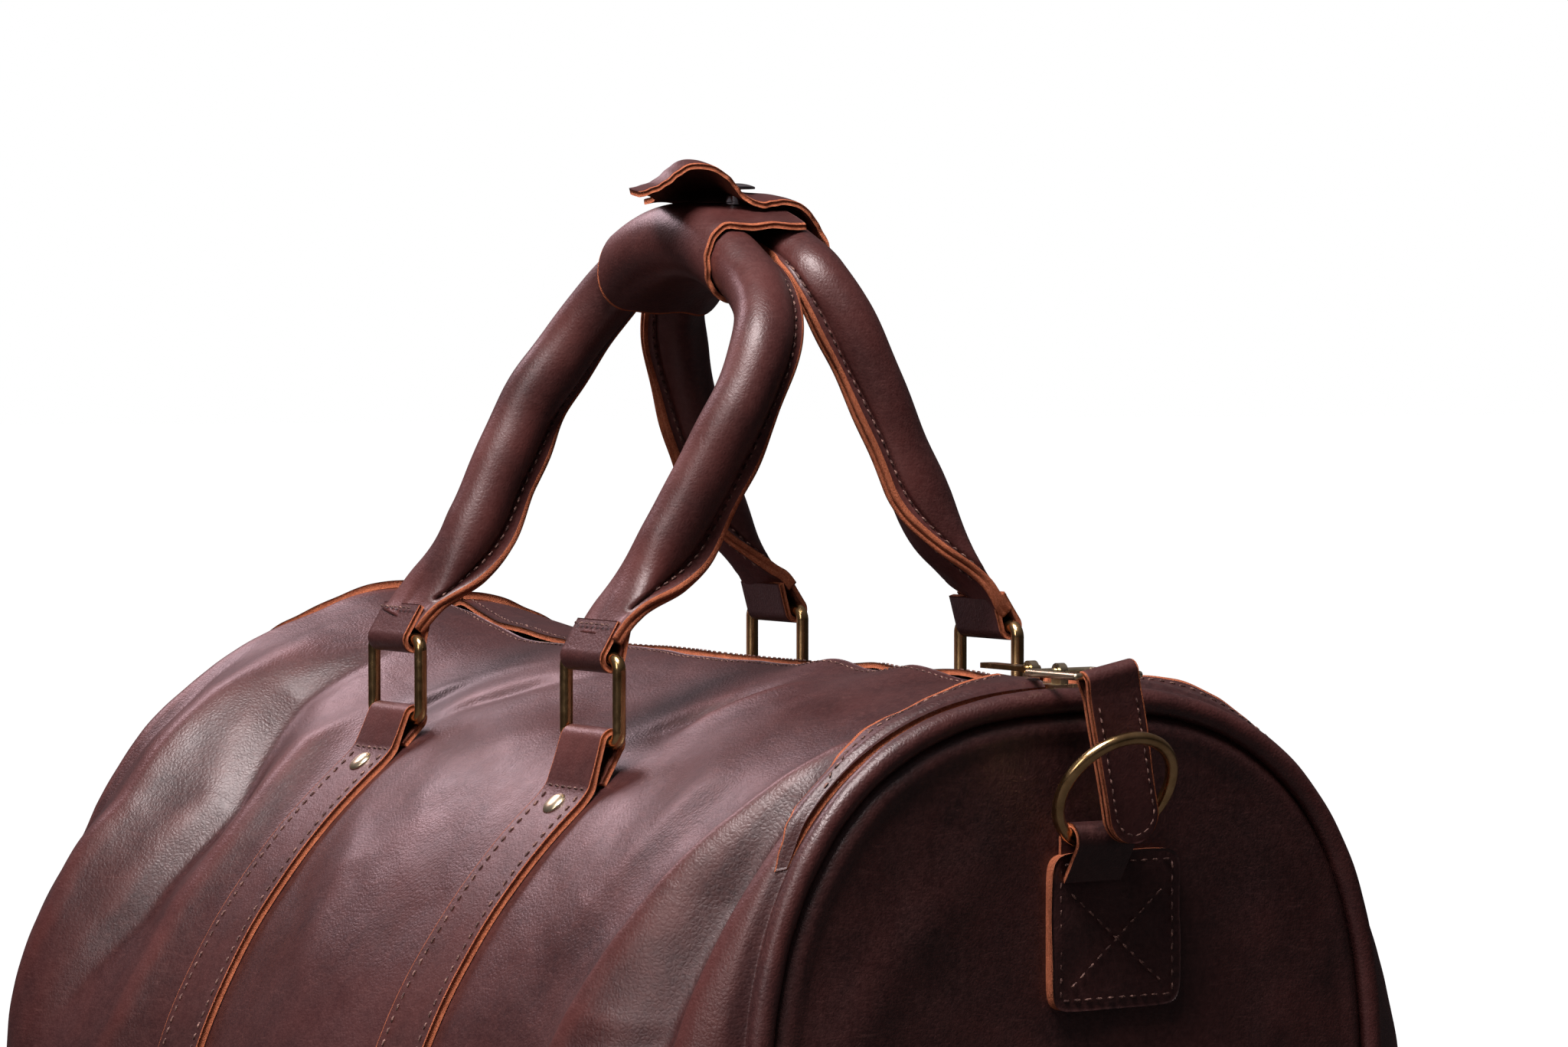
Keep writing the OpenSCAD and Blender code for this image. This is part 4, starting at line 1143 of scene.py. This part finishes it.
def make_tab():
    """The leather pull: one strip folded over the frame's bar and stitched, with a round tip."""
    r = 2.8
    bend = [(TAB_X + r * math.cos(a), r * math.sin(a)) for a in np.linspace(0.1, math.pi - 0.1, 22)]
    front = [(TAB_X + 2.0, -d) for d in np.linspace(TAB_LONG, 6, 50)]
    back = [(TAB_X - 0.35, -d) for d in np.linspace(6, TAB_LONG, 50)]
    path = even(np.vstack([front, bend, back]), 150)
    drop = np.maximum(0, -path[:, 1])
    tip = np.clip((drop - (TAB_LONG - TAB_HALF)) / TAB_HALF, 0, 1)
    width = TAB_HALF * np.sqrt(np.maximum(1 - tip**2, 0.004)) * (1 + 0.03 * np.sin(drop / 9))
    u = raw_rows(1, 0.93, 0.86, 13)
    thin = np.where(np.abs(u) > 0.99, 0.8, 1.12)[:, None, None]
    y = u[:, None] * width[None]
    soft = 0.25 * np.sin(drop / 11)[None]
    sheets = (path + k * thin * flat_normal(path) for k in (-1, 1))
    top, bottom = (hung(q[..., 0] + soft, y, q[..., 1]) for q in sheets)
    wear = 0.3 + 0 * y
    obj = slab_mesh("leather_pull_strip", top, bottom, [HANDLE_LEATHER, SUEDE, EDGE], wear, raw=True)
    settle(obj, "leather_pull", "leather", "pull_tab")
    r = TAB_HALF - 3.0
    down = np.linspace(9, TAB_LONG - TAB_HALF, 30)
    round_ = np.linspace(0, math.pi, 24)[1:-1]
    y = np.concatenate([r + 0 * down, r * np.cos(round_), -r + 0 * down])
    z = -np.concatenate([down, TAB_LONG - TAB_HALF + r * np.sin(round_), down[::-1]])
    for word, x_at, sign in (("outer", TAB_X + 3.6, 1.0), ("inner", TAB_X - 1.75, -1.0)):
        up = np.repeat([[sign, 0, 0]], len(y), 0)
        stitches(f"leather_pull_stitching_{word}", hung(x_at + 0 * y, y, z), up, "leather_pull", 3.6, 2.6, 0.36)


# ---------- everything ----------

make_camera()
make_world()
make_stage()
area_light("key", (0.45, -0.7, 1.7), (0.12, -0.1, 0.28), (0.8, 0.65), 42, (1, 0.88, 0.88))
area_light("back", (-1.45, -0.2, 1.4), (0.05, -0.05, 0.28), (0.9, 0.4), 10.5, (1, 0.72, 0.79))
area_light("side", (0.7, -1.9, 1.1), (0.1, 0, 0.42), (0.5, 0.9), 7, (1, 0.86, 0.86))

make_body_panel(FRONT, "front_leather", "front_panel")
make_body_panel(REAR, "rear_leather", "rear_panel")
for hand, word in ((RIGHT, "right"), (LEFT, "left")):
    make_end_panel(hand, f"end_leather_painted_shade_{word}", f"end_panel_{word}")
    make_piping(hand, f"piping_roll_{word}", f"piping_{word}")
    make_end_facing(hand, FRONT, f"facing_front_{word}", f"end_facing_{word}")
    make_end_facing(hand, REAR, f"facing_rear_{word}", f"end_facing_{word}")
    make_patch(hand, f"end_patch_{word}", f"ring_patch_{word}")
    for side, way in ((FRONT, "front"), (REAR, "rear")):
        make_strap(side, hand * STRAP_X, f"strap_leather_{way}_{word}", f"strap_{way}_{word}")
make_lining()
make_base()
make_zip()
make_rivets()
make_handle(FRONT, FRONT_LINE, "handle_leather_front", "handle_front")
make_handle(REAR, REAR_LINE, "handle_leather_rear", "handle_rear")
make_core(FRONT_LINE, "handle_rope_front", "handle_core_front")
make_core(REAR_LINE, "handle_rope_rear", "handle_core_rear")
make_wrap()
make_tab()

SLOT_LOOKS = {"leather": LEATHER, "cloth": LINING, "board": BOARD, "cord": CORD, "antique_brass": BRASS,
              "pale_brass": PALE_BRASS, "chrome": CHROME}
node_slot = {s["node"]: s["material_slot"] for s in frame["record"]["subparts"]}
for node, obj in frame["nodes"].items():
    obj.data.materials.clear()
    obj.data.materials.append(SLOT_LOOKS[node_slot[node]])
    if node in ("slider_a", "slider_b", "bar_pull", "zip_stops", "base_board"):
        round_off = obj.modifiers.new("edges", "BEVEL")
        round_off.width, round_off.segments = 0.0004, 3

bpy.context.scene.view_settings.view_transform = "Standard"
